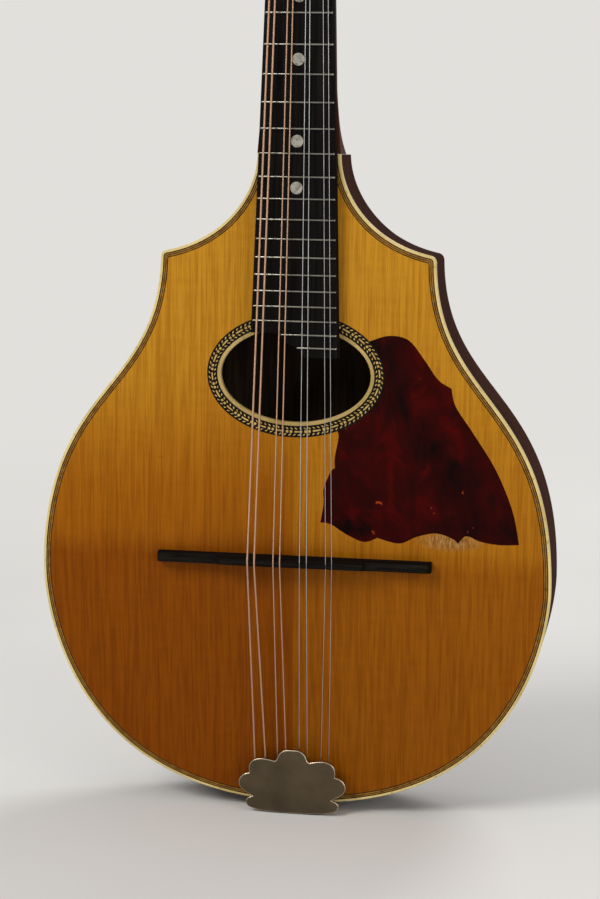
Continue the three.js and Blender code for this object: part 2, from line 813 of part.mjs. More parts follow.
function makeNut() {
  const top = boardFront - nutRise;
  let nut = block(-nutWidth / 2, nutWidth / 2, top, -seam, nutZ, headZ - seam);
  stringDiameters.forEach((diameter, string) => {
    const half = diameter / 2 + seam;
    const x = nutX(string);
    nut = nut.subtract(block(x - half, x + half, -reach, nutNotchY, -reach, reach));
  });
  return nut;
}

function makeBridge() {
  const place = (across, up) => point(bridgeLength / 2 * across, bridgeHeight * up);
  const crest = bridgeCrestShares.map(([across, up]) => place(across, up));
  const scoopPoints = bridgeScoopShares.map(([across, up]) => place(across, up));
  const scoop = new THREE.SplineCurve([crest.at(-1), ...scoopPoints]);
  const wing = bridgeWingShares.map(([across, up]) => place(across, up));
  const half = [...crest.slice(0, -1), ...scoop.getPoints(bridgeScoopSteps), ...wing];
  const other = half.slice(1).reverse().map((p) => point(-p.x, p.y));
  const outline = [...half, ...other].map((p) => point(bridgeCentreX + p.x, -p.y - seam));
  const back = bridgeFoot - bridgeBaseWidth;
  const side = [
    point(reach, bridgeFoot), point(-seam - bridgeHeight, bridgeFoot),
    point(-seam - bridgeHeight, bridgeFoot - bridgeTopWidth),
    point(-seam - bridgeEdgeHeight, back), point(reach, back),
  ];
  let bridge = prism(outline, -reach, reach).intersect(barAlongX(side, -reach, reach));
  stringDiameters.forEach((diameter, string) => {
    const half = diameter / 2 + seam;
    const x = saddleX(string);
    const floor = -seam - bridgeHeight + notchDepth;
    bridge = bridge.subtract(block(x - half, x + half, -reach, floor, -reach, reach));
  });
  return bridge;
}

// A route whose stations are its own points, so that a tube has a ring at each one
class Route extends THREE.Curve {
  constructor(points) {
    super();
    this.points = points;
  }

  getPoint(share, target = new THREE.Vector3()) {
    const place = share * (this.points.length - 1);
    const index = Math.min(Math.floor(place), this.points.length - 2);
    return target.lerpVectors(this.points[index], this.points[index + 1], place - index);
  }

  getPointAt(share, target) {
    return this.getPoint(share, target);
  }

  getTangentAt(share) {
    const place = Math.round(share * (this.points.length - 1));
    const here = this.points[place];
    const before = this.points[place - 1];
    const after = this.points[place + 1];
    const tangent = new THREE.Vector3();
    if (before) {
      tangent.add(here.clone().sub(before).normalize());
    }
    if (after) {
      tangent.add(after.clone().sub(here).normalize());
    }
    return tangent.normalize();
  }
}

function tube(points, radius) {
  const ring = new THREE.EllipseCurve(0, 0, radius, radius).getPoints(stringSides).slice(1);
  const section = new THREE.Shape(ring);
  const geometry = new THREE.ExtrudeGeometry(section, {
    steps: points.length - 1,
    extrudePath: new Route(points),
  });
  return outward(geometry);
}

// The turns of a string round its post, from the side that faces the head's middle
function windingPoints(string) {
  const diameter = stringDiameters[string];
  const side = string < stringDiameters.length / 2 ? -1 : 1;
  const radius = postRadius + fit + diameter / 2;
  const centreU = side * postSpan / 2;
  const centreV = firstPostV + postPitch * stringPostRows[string];
  const rise = diameter + windingGap;
  const points = [];
  for (let i = 0; i <= windingTurnCount * windingSteps; i++) {
    const turn = i / windingSteps;
    const angle = 2 * Math.PI * turn;
    const u = centreU - side * radius * Math.cos(angle);
    const v = centreV + radius * Math.sin(angle);
    points.push(new THREE.Vector3(u, v, veneerFront + windingHeight - rise * turn));
  }
  return points.map((place) => place.applyMatrix4(headFrame));
}

function stringPoints(string) {
  const radius = stringDiameters[string] / 2;
  const crestY = -seam - bridgeHeight + notchDepth - seam - radius;
  const crestZ = bridgeFoot - bridgeTopWidth / 2;
  const hook = new THREE.Vector3(tailX(string), -hookStringHeight, hookFront + fit + radius);
  const nutY = nutNotchY - seam - radius;
  return [
    hook.applyMatrix4(tailFrame),
    new THREE.Vector3(saddleX(string), crestY, crestZ - bridgeTopWidth / 2).applyMatrix4(tailFrame),
    new THREE.Vector3(saddleX(string), crestY, crestZ + bridgeTopWidth / 2).applyMatrix4(tailFrame),
    new THREE.Vector3(nutX(string), nutY, nutZ),
    new THREE.Vector3(nutX(string), nutY, headZ),
    ...windingPoints(string),
  ];
}

// Least gap between the turns of one winding, measured on its points
function leastGap(points, diameter) {
  let least = Infinity;
  for (let i = 0; i < points.length; i++) {
    for (let j = i + windingSteps / 2; j < points.length; j++) {
      least = Math.min(least, points[i].distanceTo(points[j]) - diameter);
    }
  }
  return least;
}

// Tailpiece

function makeTailBase() {
  const half = tailPlateWidth / 2;
  const endX = tailEndPlateWidth / 2;
  let plate = block(-half, half, plateSurface, -seam, tailPlateEdge, tailPlateFront);
  stringDiameters.forEach((diameter, string) => {
    const x = tailX(string) * (half - hookWidth / 2) / tailHalfSpread;
    const hook = block(
      x - hookWidth / 2, x + hookWidth / 2, -hookHeight, plateSurface + seam,
      hookFront - hookThickness, hookFront,
    );
    plate = plate.add(hook);
  });
  const endPlate = block(
    -endX, endX, plateCorner.y, plateCorner.y + tailEndPlateDrop, endPlateZ, endPlateZ + tailPlateThickness,
  );
  const aboveEnd = block(-reach, reach, -reach, reach, endPlateZ, reach);
  return placed(plate, tailFrame).intersect(aboveEnd).add(endPlate);
}

// A scalloped plate with a lip over the tail and two flanges on the base plate's edges
function makeTailCover() {
  const length = coverFront - coverBack;
  const place = (across, down) => point(
    coverCentreX + coverHalfWidth * across, coverFront - length * down,
  );
  const half = [place(0, 0), ...runsOf(coverRunShares, place, guardSteps)];
  const other = half.slice(1, -1).reverse().map((p) => point(2 * coverCentreX - p.x, p.y));
  const outline = [...half, ...other];
  const roof = -coverHeight;
  const flangeX = tailPlateWidth / 2 + fit;
  const tailEnd = block(
    coverCentreX - coverLipHalfWidth, coverCentreX + coverLipHalfWidth,
    -reach, reach, coverBack - fit, coverBack + coverWall,
  );
  let cover = slab(outline, roof, roof + coverWall);
  cover = cover.add(slab(outline, roof, -coverLipSeat).intersect(tailEnd));
  for (const side of [-flangeX - coverWall, flangeX]) {
    cover = cover.add(
      block(side, side + coverWall, roof, -coverFlangeSeat, coverFlangeBack, coverFlangeFront),
    );
  }
  return cover;
}

// Tuners

function makeTunerPlate() {
  const half = plateWidth / 2;
  const end = -postPitch * (postRows - 1) - plateMargin;
  let plate = block(-half, half, end, plateMargin, -plateThickness, 0);
  for (let row = 0; row < postRows; row++) {
    const y = -postPitch * row;
    const radius = postRadius + postHoleFit;
    const hole = new THREE.EllipseCurve(0, y, radius, radius).getPoints(holeSteps).slice(1);
    for (const side of [-1, 1]) {
      const inner = side * earOffset;
      const outer = side * (earOffset + earThickness);
      const top = wormHeight + earHalfWidth;
      plate = plate.add(block(
        Math.min(inner, outer), Math.max(inner, outer), y + wormY - earHalfWidth, y + wormY + earHalfWidth,
        -plateThickness / 2, top,
      ));
    }
    const bore = wormCoreRadius + earFit;
    const rim = new THREE.EllipseCurve(y + wormY, wormHeight, bore, bore);
    const shaftHole = rim.getPoints(shaftSteps).slice(1);
    const boreEnd = earOffset + earThickness + seam;
    plate = plate.subtract(prism(hole, -reach, reach)).subtract(barAlongX(shaftHole, -boreEnd, boreEnd));
  }
  return plate;
}

function gearOutline() {
  const points = [];
  const pitchAngle = 2 * Math.PI / gearTeeth;
  const { tip, root } = toothShares;
  for (let tooth = 0; tooth < gearTeeth; tooth++) {
    const middle = Math.PI / 2 + pitchAngle * (tooth + 1 / 2);
    for (const [share, radius] of [
      [-root / 2, gearRootRadius],
      [-tip / 2, gearTipRadius],
      [tip / 2, gearTipRadius],
      [root / 2, gearRootRadius],
    ]) {
      const angle = middle + pitchAngle * share;
      points.push(point(radius * Math.cos(angle), radius * Math.sin(angle)));
    }
  }
  return points;
}

// Gear and post in one, with the teeth turned to follow the worm's lead
function makePost() {
  const low = wormHeight - gearFaceWidth / 2;
  const high = wormHeight + gearFaceWidth / 2;
  const lead = wormPitch / (2 * Math.PI * wormPitchRadius) / gearPitchRadius;
  const gear = new THREE.ExtrudeGeometry(new THREE.Shape(gearOutline()), {
    depth: gearFaceWidth,
    bevelEnabled: false,
  });
  gear.translate(0, 0, low);
  const spot = new THREE.Vector3();
  const axis = new THREE.Vector3(0, 0, 1);
  const places = gear.attributes.position;
  for (let i = 0; i < places.count; i++) {
    spot.fromBufferAttribute(places, i);
    spot.applyAxisAngle(axis, lead * (spot.z - wormHeight));
    places.setXYZ(i, spot.x, spot.y, spot.z);
  }
  const front = plateBack - veneerFront - postStickOut;
  const post = turned([
    [0, front], [postRadius - postChamfer, front], [postRadius, front + postChamfer],
    [postRadius, low + seam], [gearScrewRadius, low + seam], [gearScrewRadius, high + gearScrewHeight],
    [0, high + gearScrewHeight],
  ], postSteps);
  return solidOf(gear).add(post);
}

function wormThread() {
  const rings = [];
  for (let i = 0; i <= wormTurnCount * wormSteps; i++) {
    const turn = i / wormSteps - wormTurnCount / 2;
    const angle = Math.PI + 2 * Math.PI * turn;
    const middle = wormPitch * turn;
    const root = wormPitch * threadShares.root;
    const tip = wormPitch * threadShares.tip;
    const low = wormCoreRadius - seam;
    const profile = [[-root, low], [-tip, wormTipRadius], [tip, wormTipRadius], [root, low]];
    rings.push(profile.map(([along, radius]) => new THREE.Vector3(
      middle + along,
      wormY + radius * Math.cos(angle),
      wormHeight + radius * Math.sin(angle),
    )));
  }
  return loft(rings);
}

function alongShaft(profile) {
  const turn = new THREE.Matrix4().makeRotationY(Math.PI / 2).setPosition(0, wormY, wormHeight);
  return placed(turned(profile, shaftSteps), turn);
}

// Worm shaft with its knob pressed on
function makeWorm() {
  const inner = -(earOffset + earThickness + fit);
  const shaft = alongShaft([
    [0, inner], [wormCoreRadius, inner], [wormCoreRadius, knobStart], [0, knobStart],
  ]);
  const collarStart = knobStart - knobCollarLength;
  const collarEnd = knobStart + knobLength * knobCollarShare;
  const collar = alongShaft([
    [0, collarStart], [knobCollarRadius, collarStart], [knobCollarRadius, collarEnd], [0, collarEnd],
  ]);
  const knob = new THREE.SphereGeometry(1, shaftSteps, knobRings);
  knob.scale(knobWidth / 2, knobLength / 2, knobThickness / 2);
  knob.rotateZ(Math.PI / 2);
  knob.translate(knobStart + knobLength / 2, wormY, wormHeight);
  return shaft.add(wormThread()).add(collar).add(outward(knob));
}

// The assembly

const instrument = new THREE.Group();
const tail = new THREE.Group();
tail.position.set(0, 0, cantZ);
tail.rotation.x = cantAngle;
const head = new THREE.Group();
head.position.set(0, 0, headZ);
head.rotation.x = Math.PI / 2 - headAngle;
instrument.add(tail, head);

function addPiece(parent, name, solid, material) {
  const mesh = new THREE.Mesh(geometryOf(solid), materialOf(material));
  mesh.name = name;
  parent.add(mesh);
  return mesh;
}

addPiece(instrument, 'soundboard', makeSoundboard(), 'spruce');
addPiece(instrument, 'back_panel', makeBack(), 'mahogany');
addPiece(instrument, 'side_rib_bass', makeRib(bassSide), 'mahogany');
addPiece(instrument, 'side_rib_treble', makeRib(trebleSide), 'mahogany');
addPiece(instrument, 'neck_block', makeBlock('neckEnd'), 'mahoganyBare');
addPiece(instrument, 'tail_block', makeBlock('tailEnd'), 'mahoganyBare');
addPiece(instrument, 'top_lining_bass', makeLining(false, bassSide), 'mahoganyBare');
addPiece(instrument, 'top_lining_treble', makeLining(false, trebleSide), 'mahoganyBare');
addPiece(instrument, 'back_lining_bass', makeLining(true, bassSide), 'mahoganyBare');
addPiece(instrument, 'back_lining_treble', makeLining(true, trebleSide), 'mahoganyBare');
for (const [name, z] of Object.entries(topBraces)) {
  addPiece(instrument, name, makeTopBrace(z), 'spruceBare');
}
for (const [name, z] of Object.entries(backBraces)) {
  addPiece(instrument, name, makeBackBrace(z), 'spruceBare');
}
const bindingBand = slab(bodyBand(0, bindingWidth), 0, bindingDepth);
const purflingBand = slab(bodyBand(purflingOuter, purflingInner), 0, inlayDepth);
addPiece(instrument, 'top_binding', canted(bindingBand), 'binding');
addPiece(instrument, 'top_purfling', canted(purflingBand), 'purfling');
addPiece(instrument, 'rosette', makeRosette(), 'marquetry');
addPiece(instrument, 'soundhole_binding', makeHoleBinding(), 'binding');
addPiece(instrument, 'pickguard', makePickguard(), 'tortoise');
addPiece(instrument, 'neck', makeNeck(), 'mahogany');
addPiece(instrument, 'fingerboard', makeFingerboard(), 'ebony');
addPiece(instrument, 'frets', makeFrets(), 'nickel');
for (const fret of dotFrets) {
  addPiece(instrument, `position_dot_${fret}`, makeDot(fret, 0, boardFront), 'pearl');
}
addPiece(instrument, 'nut', makeNut(), 'bone');
addPiece(instrument, 'tailpiece_base', makeTailBase(), 'nickel');
addPiece(tail, 'tailpiece_cover', makeTailCover(), 'nickel');
addPiece(tail, 'bridge', makeBridge(), 'ebony');
addPiece(head, 'headstock_veneer', makeVeneer(), 'ebony');

stringDiameters.forEach((diameter, string) => {
  const points = stringPoints(string);
  const material = string < stringDiameters.length / 2 ? 'bronze' : 'steel';
  addPiece(instrument, `string_${stringNames[string]}`, tube(points, diameter / 2), material);
  const gap = leastGap(windingPoints(string), diameter);
  console.log(`string_${stringNames[string]} least gap between turns ${gap.toFixed(2)} mm`);
});

for (const [sideName, side] of [['bass', -1], ['treble', 1]]) {
  const row = new THREE.Group();
  row.position.set(side * postSpan / 2, firstPostV, plateBack);
  row.rotation.x = Math.PI;
  row.scale.x = side;
  head.add(row);
  addPiece(row, `tuner_plate_${sideName}`, makeTunerPlate(), 'nickel');
  eachPost((v, place) => {
    const post = addPiece(row, `tuner_post_${sideName}_${place + 1}`, makePost(), 'steel');
    const worm = addPiece(row, `tuner_knob_${sideName}_${place + 1}`, makeWorm(), 'ivoroid');
    post.position.y = firstPostV - v;
    worm.position.y = firstPostV - v;
  });
}

const mandolin = new THREE.Group();
instrument.position.set(0, -endPlateMiddleY, -endPlateZ);
mandolin.add(instrument);

export default mandolin;
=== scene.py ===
import math

import bmesh
import bpy
from mathutils import Matrix, Vector


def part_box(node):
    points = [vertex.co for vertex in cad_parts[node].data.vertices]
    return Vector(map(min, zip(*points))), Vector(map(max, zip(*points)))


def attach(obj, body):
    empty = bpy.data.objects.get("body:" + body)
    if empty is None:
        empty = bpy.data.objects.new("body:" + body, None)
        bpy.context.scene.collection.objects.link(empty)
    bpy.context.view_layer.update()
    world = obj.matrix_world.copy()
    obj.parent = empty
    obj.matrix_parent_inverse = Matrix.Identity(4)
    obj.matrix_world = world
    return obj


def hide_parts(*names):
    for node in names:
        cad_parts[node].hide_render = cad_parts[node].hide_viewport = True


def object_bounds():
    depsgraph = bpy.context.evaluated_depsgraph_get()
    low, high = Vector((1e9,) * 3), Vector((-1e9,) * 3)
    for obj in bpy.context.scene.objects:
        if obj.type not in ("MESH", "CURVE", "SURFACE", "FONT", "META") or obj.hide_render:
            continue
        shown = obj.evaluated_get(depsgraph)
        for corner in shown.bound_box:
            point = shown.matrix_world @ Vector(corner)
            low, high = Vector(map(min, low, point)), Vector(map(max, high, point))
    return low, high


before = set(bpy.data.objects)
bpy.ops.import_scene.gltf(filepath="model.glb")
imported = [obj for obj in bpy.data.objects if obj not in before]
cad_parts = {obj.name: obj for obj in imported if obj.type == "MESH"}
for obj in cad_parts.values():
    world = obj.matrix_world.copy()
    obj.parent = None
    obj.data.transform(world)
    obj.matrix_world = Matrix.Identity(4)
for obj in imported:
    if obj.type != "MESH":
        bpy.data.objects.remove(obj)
cad_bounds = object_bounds()

MM = 0.001
SEAM = 0.1  # between glued or inlaid faces

# Scale, frets and fingerboard
SCALE_LENGTH = 330.2
FRET_COUNT = 21
JOINT_FRET = 10
NUT_WIDTH = 26.6
BOARD_END_WIDTH = 40.6
BOARD_THICKNESS = 5
BOARD_FACING = 3.4  # ebony over the board's reddish base
BOARD_OVERHANG = 4.47
BOARD_END_DROP = 10.8
BOARD_END_SHARES = [(0.343, 0), (0.19, 0.04), (0.056, 0.38), (-0.155, 0.6), (-0.315, 0.84), (-0.376, 1)]
FRET_WIDTH = 1.1
FRET_HEIGHT = 1
FRET_SETBACK = 0.4
LAST_FRETS_START_SHARES = {20: -0.315, 21: 0.056}
DOT_FRETS = (5, 7, 10, 12)
DOT_DIAMETER = 5.6
DOT_PROUD = 0.03
NUT_THICKNESS = 4.5
NUT_RISE = 2.6
STRING_ACTION = 0.5

# Body outline and depth
BODY_WIDTH = 237.6
NECK_END_WIDTH = 38
CORNER_SPAN = 126.4
CORNER_Z = 140.3
CORNER_ROUND = 3
WIDEST_Z = -10.7
TAIL_Z = -118
SHOULDER_HANDLE_SHARES = (0.405, 0.669, 0.11)
SIDE_HANDLE_SHARES = (0.448, 0.608)
TAIL_HANDLE_SHARES = (0.023, 0.987)
TOP_THICKNESS = 2.6
CREASE_Z = 4.9
CANT = math.radians(5)
BACK_THICKNESS = 2.5
BACK_DEPTH = 32
BACK_SLOPE = 0.085
CYLINDER_WIDTH = 80
CYLINDER_RISE = 13
CYLINDER_NECK_SHARE = 0.1
CYLINDER_FADE_LENGTH = 70
RIB_THICKNESS = 2.2
BINDING_WIDTH = 1.2
BINDING_DEPTH = 3
PURFLING_WIDTH = 2.1
INLAY_DEPTH = 1

# Sound hole
HOLE_Z = 85.3
HOLE_HALF_WIDTH = 34.6
HOLE_HALF_HEIGHT = 21.6
HOLE_BINDING_WIDTH = 1.7
ROSETTE_HALF_WIDTH = 41
ROSETTE_HALF_HEIGHT = 28.6

# Pickguard
GUARD_LEFT = 12.7
GUARD_BOTTOM = 9.7
GUARD_WIDTH = 91.1
GUARD_HEIGHT = 94.7
WEAR_PLACE = (72.826, 130.9)  # the rubbed patch's middle, across and up from the tail
WEAR_HALF_SIZE = (17, 5)
GUARD_RUN_SHARES = [
    [(0.232, 0.971), (0.33, 1), (0.427, 0.981), (0.504, 0.894), (0.577, 0.798), (0.645, 0.757)],
    [(0.645, 0.757), (0.668, 0.672), (0.762, 0.541), (0.878, 0.369), (0.963, 0.18), (1, 0.018)],
    [(1, 0.018), (0.9, 0.014), (0.808, 0.026), (0.737, 0.05), (0.697, 0.012)],
    [(0.697, 0.012), (0.664, 0.036), (0.584, 0.057), (0.488, 0.036), (0.401, 0), (0.29, 0.023)],
    [(0.29, 0.023), (0.223, 0), (0.134, 0.033), (0.052, 0.08), (0, 0.086)],
    [(0, 0.086), (0.016, 0.181), (0.014, 0.25), (0.047, 0.333), (0.069, 0.354)],
    [(0.069, 0.354), (0.068, 0.408), (0.085, 0.502), (0.077, 0.54)],
    [(0.077, 0.54), (0.12, 0.6), (0.2, 0.8), (0.232, 0.971)],
]

# Neck and head
NECK_DEPTH_AT_NUT = 14
NECK_DEPTH_AT_HEEL = 17
HEEL_LENGTH = 28
HEEL_DEPTH = 32
HEEL_POWER = 2.6
SHAFT_FULLNESS = 2.2
HEEL_FULLNESS = 5
HEEL_FLARE = 4
HEAD_FULLNESS = 9
HEAD_ANGLE = math.radians(14)
HEAD_THICKNESS = 14.5
HEAD_LENGTH = 136
HEAD_WIDTH = 61
HEAD_FOOT_SHARES = [(0.48, 0), (0.49, 0.05), (0.72, 0.11), (0.91, 0.16), (0.94, 0.24)]
HEAD_CROWN_SHARES = [(1, 0.84), (0.98, 0.9), (0.84, 0.94), (0.52, 0.925), (0.3, 0.95), (0, 1)]
VENEER_THICKNESS = 1.5
HEAD_FRONT_ROUND = 0.3
HEAD_BACK_ROUND = 1.6

# Bridge
BRIDGE_CENTRE_X = 0.75
BRIDGE_LENGTH = 127.5
BRIDGE_HEIGHT = 13.2
BRIDGE_FOOT = -2.9
BRIDGE_BASE_WIDTH = 4.9
BRIDGE_TOP_WIDTH = 2.5
BRIDGE_EDGE_HEIGHT = 3
BRIDGE_RUN_SHARES = [
    [(0, 1), (0.25, 0.995), (0.486, 0.97)],
    [(0.486, 0.97), (0.52, 0.9), (0.54, 0.66), (0.58, 0.55), (0.66, 0.51)],
    [(0.66, 0.51), (0.8, 0.53), (0.95, 0.57), (0.985, 0.5)],
]
BRIDGE_END_SHARES = [(1, 0.28), (1, 0)]

# Strings, bass to treble
STRING_NAMES = ("g_outer", "g_inner", "d_outer", "d_inner", "a_inner", "a_outer", "e_inner", "e_outer")
WOUND_STRINGS = 4
THICKEST_STRING = 0.95
STRING_SHARES = (1, 1, 0.695, 0.695, 0.4, 0.4, 0.295, 0.295)
SADDLE_HALF_SPREAD = 20
SADDLE_SHARES = (-0.935, -0.775, -0.34, -0.185, 0.27, 0.43, 0.87, 1.01)
NUT_HALF_SPREAD = 11.4
NUT_SHARES = (-0.97, -0.76, -0.34, -0.16, 0.25, 0.38, 0.82, 1)
TAIL_HALF_SPREAD = 17.9
TAIL_SHARES = (-0.94, -0.65, -0.34, -0.11, 0.22, 0.44, 0.79, 1)
STRING_POST_ROWS = (0, 1, 2, 3, 3, 2, 1, 0)
NOTCH_DEPTH = 0.5
RUNNING_FIT = 0.3
WINDING_COUNT = 2.5
WINDING_GAP = 0.45
WINDING_HEIGHT = 5.6
LOOP_REACH = 3.4  # from a string's loop back to where it is twisted shut
LOOP_WIRE = 0.22

# Tailpiece
TAIL_PLATE_WIDTH = 35.6
HOOK_FRONT = -108
HOOK_THICKNESS = 1.4
HOOK_WIDTH = 1.8
HOOK_STRING_HEIGHT = 4.7
COVER_HEIGHT = 8.8
COVER_WALL = 0.8
COVER_FRONT = -94.5
COVER_BACK = -125.7
COVER_CENTRE_X = 1.2
COVER_HALF_WIDTH = 25.3
COVER_FLANGE_FRONT = -103.5
COVER_FLANGE_BACK = -116.5
COVER_FLANGE_SEAT = 0.5
COVER_LIP_SEAT = 1.8
COVER_LIP_HALF_WIDTH = 14
COVER_ROLL = 1.3
END_SCREWS = ((-0.008, 0.42), (0.008, 0.42), (0, 0.78))  # metres across, share of the end plate down
COVER_RUN_SHARES = [
    [(0, 0), (0.138, 0.01), (0.237, 0.07), (0.285, 0.154), (0.324, 0.186)],
    [(0.324, 0.186), (0.455, 0.163), (0.613, 0.157), (0.743, 0.199), (0.806, 0.285), (0.806, 0.394)],
    [(0.806, 0.394), (0.905, 0.42), (0.988, 0.494), (1, 0.59), (0.925, 0.673), (0.751, 0.76)],
    [(0.751, 0.76), (0.838, 0.795), (0.874, 0.849), (0.838, 0.92), (0.751, 0.958)],
    [(0.751, 0.958), (0.553, 0.984), (0.316, 0.995), (0, 1)],
]

# Tuners, in a row's own frame: X out along the worm, Z along the post to the back
POST_SPAN = 38
FIRST_POST_V = 28
POST_PITCH = 23.5
POST_ROWS = 4
POST_RADIUS = 3
POST_HOLE_RADIUS = 3.4
POST_STRING_HOLE_RADIUS = 0.75
BUSHING_FIT = 0.15
BUSHING_WIDTH = 1.9
BUSHING_HEIGHT = 0.9
POST_STICK_OUT = 11.5
PLATE_THICKNESS = 1.2
PLATE_WIDTH = 12.6
PLATE_MARGIN = 10
GEAR_TEETH = 14
GEAR_PITCH_RADIUS = 3.6
GEAR_FACE_WIDTH = 2.4
TOOTH_REACH = 0.4
TOOTH_DEPTH = 0.65
WORM_PITCH_RADIUS = 1.8
WORM_CORE_RADIUS = 1.1
WORM_HEIGHT = 2.6
WORM_TURNS = 2
EAR_OFFSET = 3.5
EAR_THICKNESS = 1
EAR_HALF_WIDTH = 2.4
EAR_FIT = 0.35
KNOB_START = 14.5
KNOB_LENGTH = 12.5
KNOB_WIDTH = 16
KNOB_THICKNESS = 7
KNOB_COLLAR_RADIUS = 1.9
KNOB_COLLAR_LENGTH = 2.6
KNOB_END_POWER = 0.62  # below 1, a fuller end than a ball's
KNOB_WAIST_POWER = 0.9
KNOB_ROUND_POWER = 0.85

# Places that follow from the sizes
SIDES = ((-1, "bass"), (1, "treble"))
NUT_Z = SCALE_LENGTH
HEAD_Z = NUT_Z + NUT_THICKNESS
BOARD_FRONT = -(BOARD_THICKNESS + SEAM)
VENEER_FRONT = SEAM + VENEER_THICKNESS
PLATE_BACK = -(HEAD_THICKNESS + SEAM + PLATE_THICKNESS)
WORM_Y = GEAR_PITCH_RADIUS + WORM_PITCH_RADIUS
WORM_PITCH = 2 * math.pi * GEAR_PITCH_RADIUS / GEAR_TEETH
NUT_NOTCH_Y = BOARD_FRONT - SEAM - FRET_HEIGHT - STRING_ACTION


def fret_z(fret):
    return SCALE_LENGTH * 2 ** (-fret / 12)


JOINT_Z = fret_z(JOINT_FRET)
BOARD_END_Z = fret_z(FRET_COUNT) - BOARD_OVERHANG

binding_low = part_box("top_binding")[0]
BODY = Matrix.Translation((0, binding_low.y, binding_low.z - TAIL_Z * MM)) @ Matrix.Scale(MM, 4)
TAIL = BODY @ Matrix.Translation((0, 0, CREASE_Z)) @ Matrix.Rotation(CANT, 4, "X")
HEAD_SHIFT = Matrix.Translation((0, 0, HEAD_Z))
HEAD_LEAN = Matrix.Rotation(math.pi / 2 - HEAD_ANGLE, 4, "X")
HEAD = BODY @ HEAD_SHIFT @ HEAD_LEAN


def tuner_row(side, row=0):
    place = Matrix.Translation((side * POST_SPAN / 2, FIRST_POST_V + POST_PITCH * row, PLATE_BACK))
    return HEAD @ place @ Matrix.Rotation(math.pi, 4, "X") @ Matrix.Diagonal((side, 1, 1, 1))


# Curves and outlines in the plane


def flat(x, z):
    return Vector((x, z))


def lerp(a, b, share):
    return a + (b - a) * share


def bezier(p0, p1, p2, p3, steps):
    run = []
    for i in range(steps + 1):
        t = i / steps
        s = 1 - t
        run.append(p0 * s**3 + p1 * (3 * s * s * t) + p2 * (3 * s * t * t) + p3 * t**3)
    return run


def spline(points, steps):
    """A Catmull-Rom curve through points, with steps between two of them."""
    last = len(points) - 1
    run = [points[0].copy()]
    for i in range(last):
        a, b, c, d = points[max(i - 1, 0)], points[i], points[i + 1], points[min(i + 2, last)]
        for k in range(1, steps + 1):
            t = k / steps
            u = (c - a) * (t / 2) + (a * 2 - b * 5 + c * 4 - d) * (t * t / 2)
            run.append(b + u + (b * 3 - a - c * 3 + d) * (t**3 / 2))
    return run


def resample(points, count):
    """count points at even steps along a run."""
    reach = [0]
    for a, b in zip(points, points[1:]):
        reach.append(reach[-1] + (b - a).length)
    run = []
    i = 0
    for k in range(count):
        goal = reach[-1] * k / (count - 1)
        while i < len(points) - 2 and reach[i + 1] < goal:
            i += 1
        step = reach[i + 1] - reach[i]
        run.append(points[i].lerp(points[i + 1], min(1, (goal - reach[i]) / step) if step else 0))
    return run


def around(count):
    """The cosine and sine of angles at even steps round a circle."""
    angles = [2 * math.pi * k / count for k in range(count)]
    return [(math.cos(angle), math.sin(angle)) for angle in angles]


def half_around(steps):
    """The cosine and sine of angles at even steps over half a circle, both ends in."""
    angles = [math.pi * k / steps for k in range(steps + 1)]
    return [(math.cos(angle), math.sin(angle)) for angle in angles]


def oval(half_width, half_height, count=120):
    return [flat(half_width * c, half_height * s + HOLE_Z) for c, s in around(count)]


def circle(x, z, radius, count=32):
    return [flat(x + radius * c, z + radius * s) for c, s in around(count)]


def signed_power(value, power):
    return math.copysign(abs(value) ** power, value)


def mirrored(half):
    """The other half of an outline that starts or ends on the centre line."""
    return [flat(-p.x, p.y) for p in reversed(half)]


def spread(shares, width, height, start=(0, 0)):
    """Points from their shares of a width and a height."""
    return [flat(start[0] + width * across, start[1] + height * up) for across, up in shares]


def runs_of(runs, steps):
    """One run of points along curves that follow each other."""
    points = [runs[0][0]]
    for run in runs:
        points += spline(run, steps)[1:]
    return points


def meeting(a, way_a, b, way_b):
    """Where two lines cross, or halfway between their points where they run alike."""
    scale = way_a.cross(way_b)
    if abs(scale) < 1e-6:
        return (a + b) / 2
    return a + way_a * ((b - a).cross(way_b) / scale)


def inset_loop(loop, inset):
    """A closed loop drawn in by inset, whichever way it runs. Points that would pass a corner stop on it."""
    count = len(loop)
    area = sum(loop[i - 1].cross(loop[i]) for i in range(count))
    turn = 1 if area > 0 else -1
    ways = [(loop[(i + 1) % count] - loop[i]).normalized() for i in range(count)]
    starts = [here + flat(-way.y, way.x) * (turn * inset) for here, way in zip(loop, ways)]
    drawn = [meeting(starts[i - 1], ways[i - 1], starts[i], ways[i]) for i in range(count)]
    for _ in range(count):
        folded = [(drawn[(i + 1) % count] - drawn[i]).dot(ways[i]) <= 1e-7 for i in range(count)]
        changed = False
        for i in range(count):
            if not folded[i] or folded[i - 1]:
                continue
            last = i
            while folded[(last + 1) % count]:
                last += 1
            after = (last + 1) % count
            corner = meeting(starts[i - 1], ways[i - 1], starts[after], ways[after])
            for k in range(i, last + 2):
                changed = changed or (drawn[k % count] - corner).length > 1e-6
                drawn[k % count] = corner
        if not changed:
            break
    return drawn


SHOULDER_STEPS = 60
SIDE_STEPS = 90
CORNER_STEPS = 8
LEAST_ROUND = 0.3


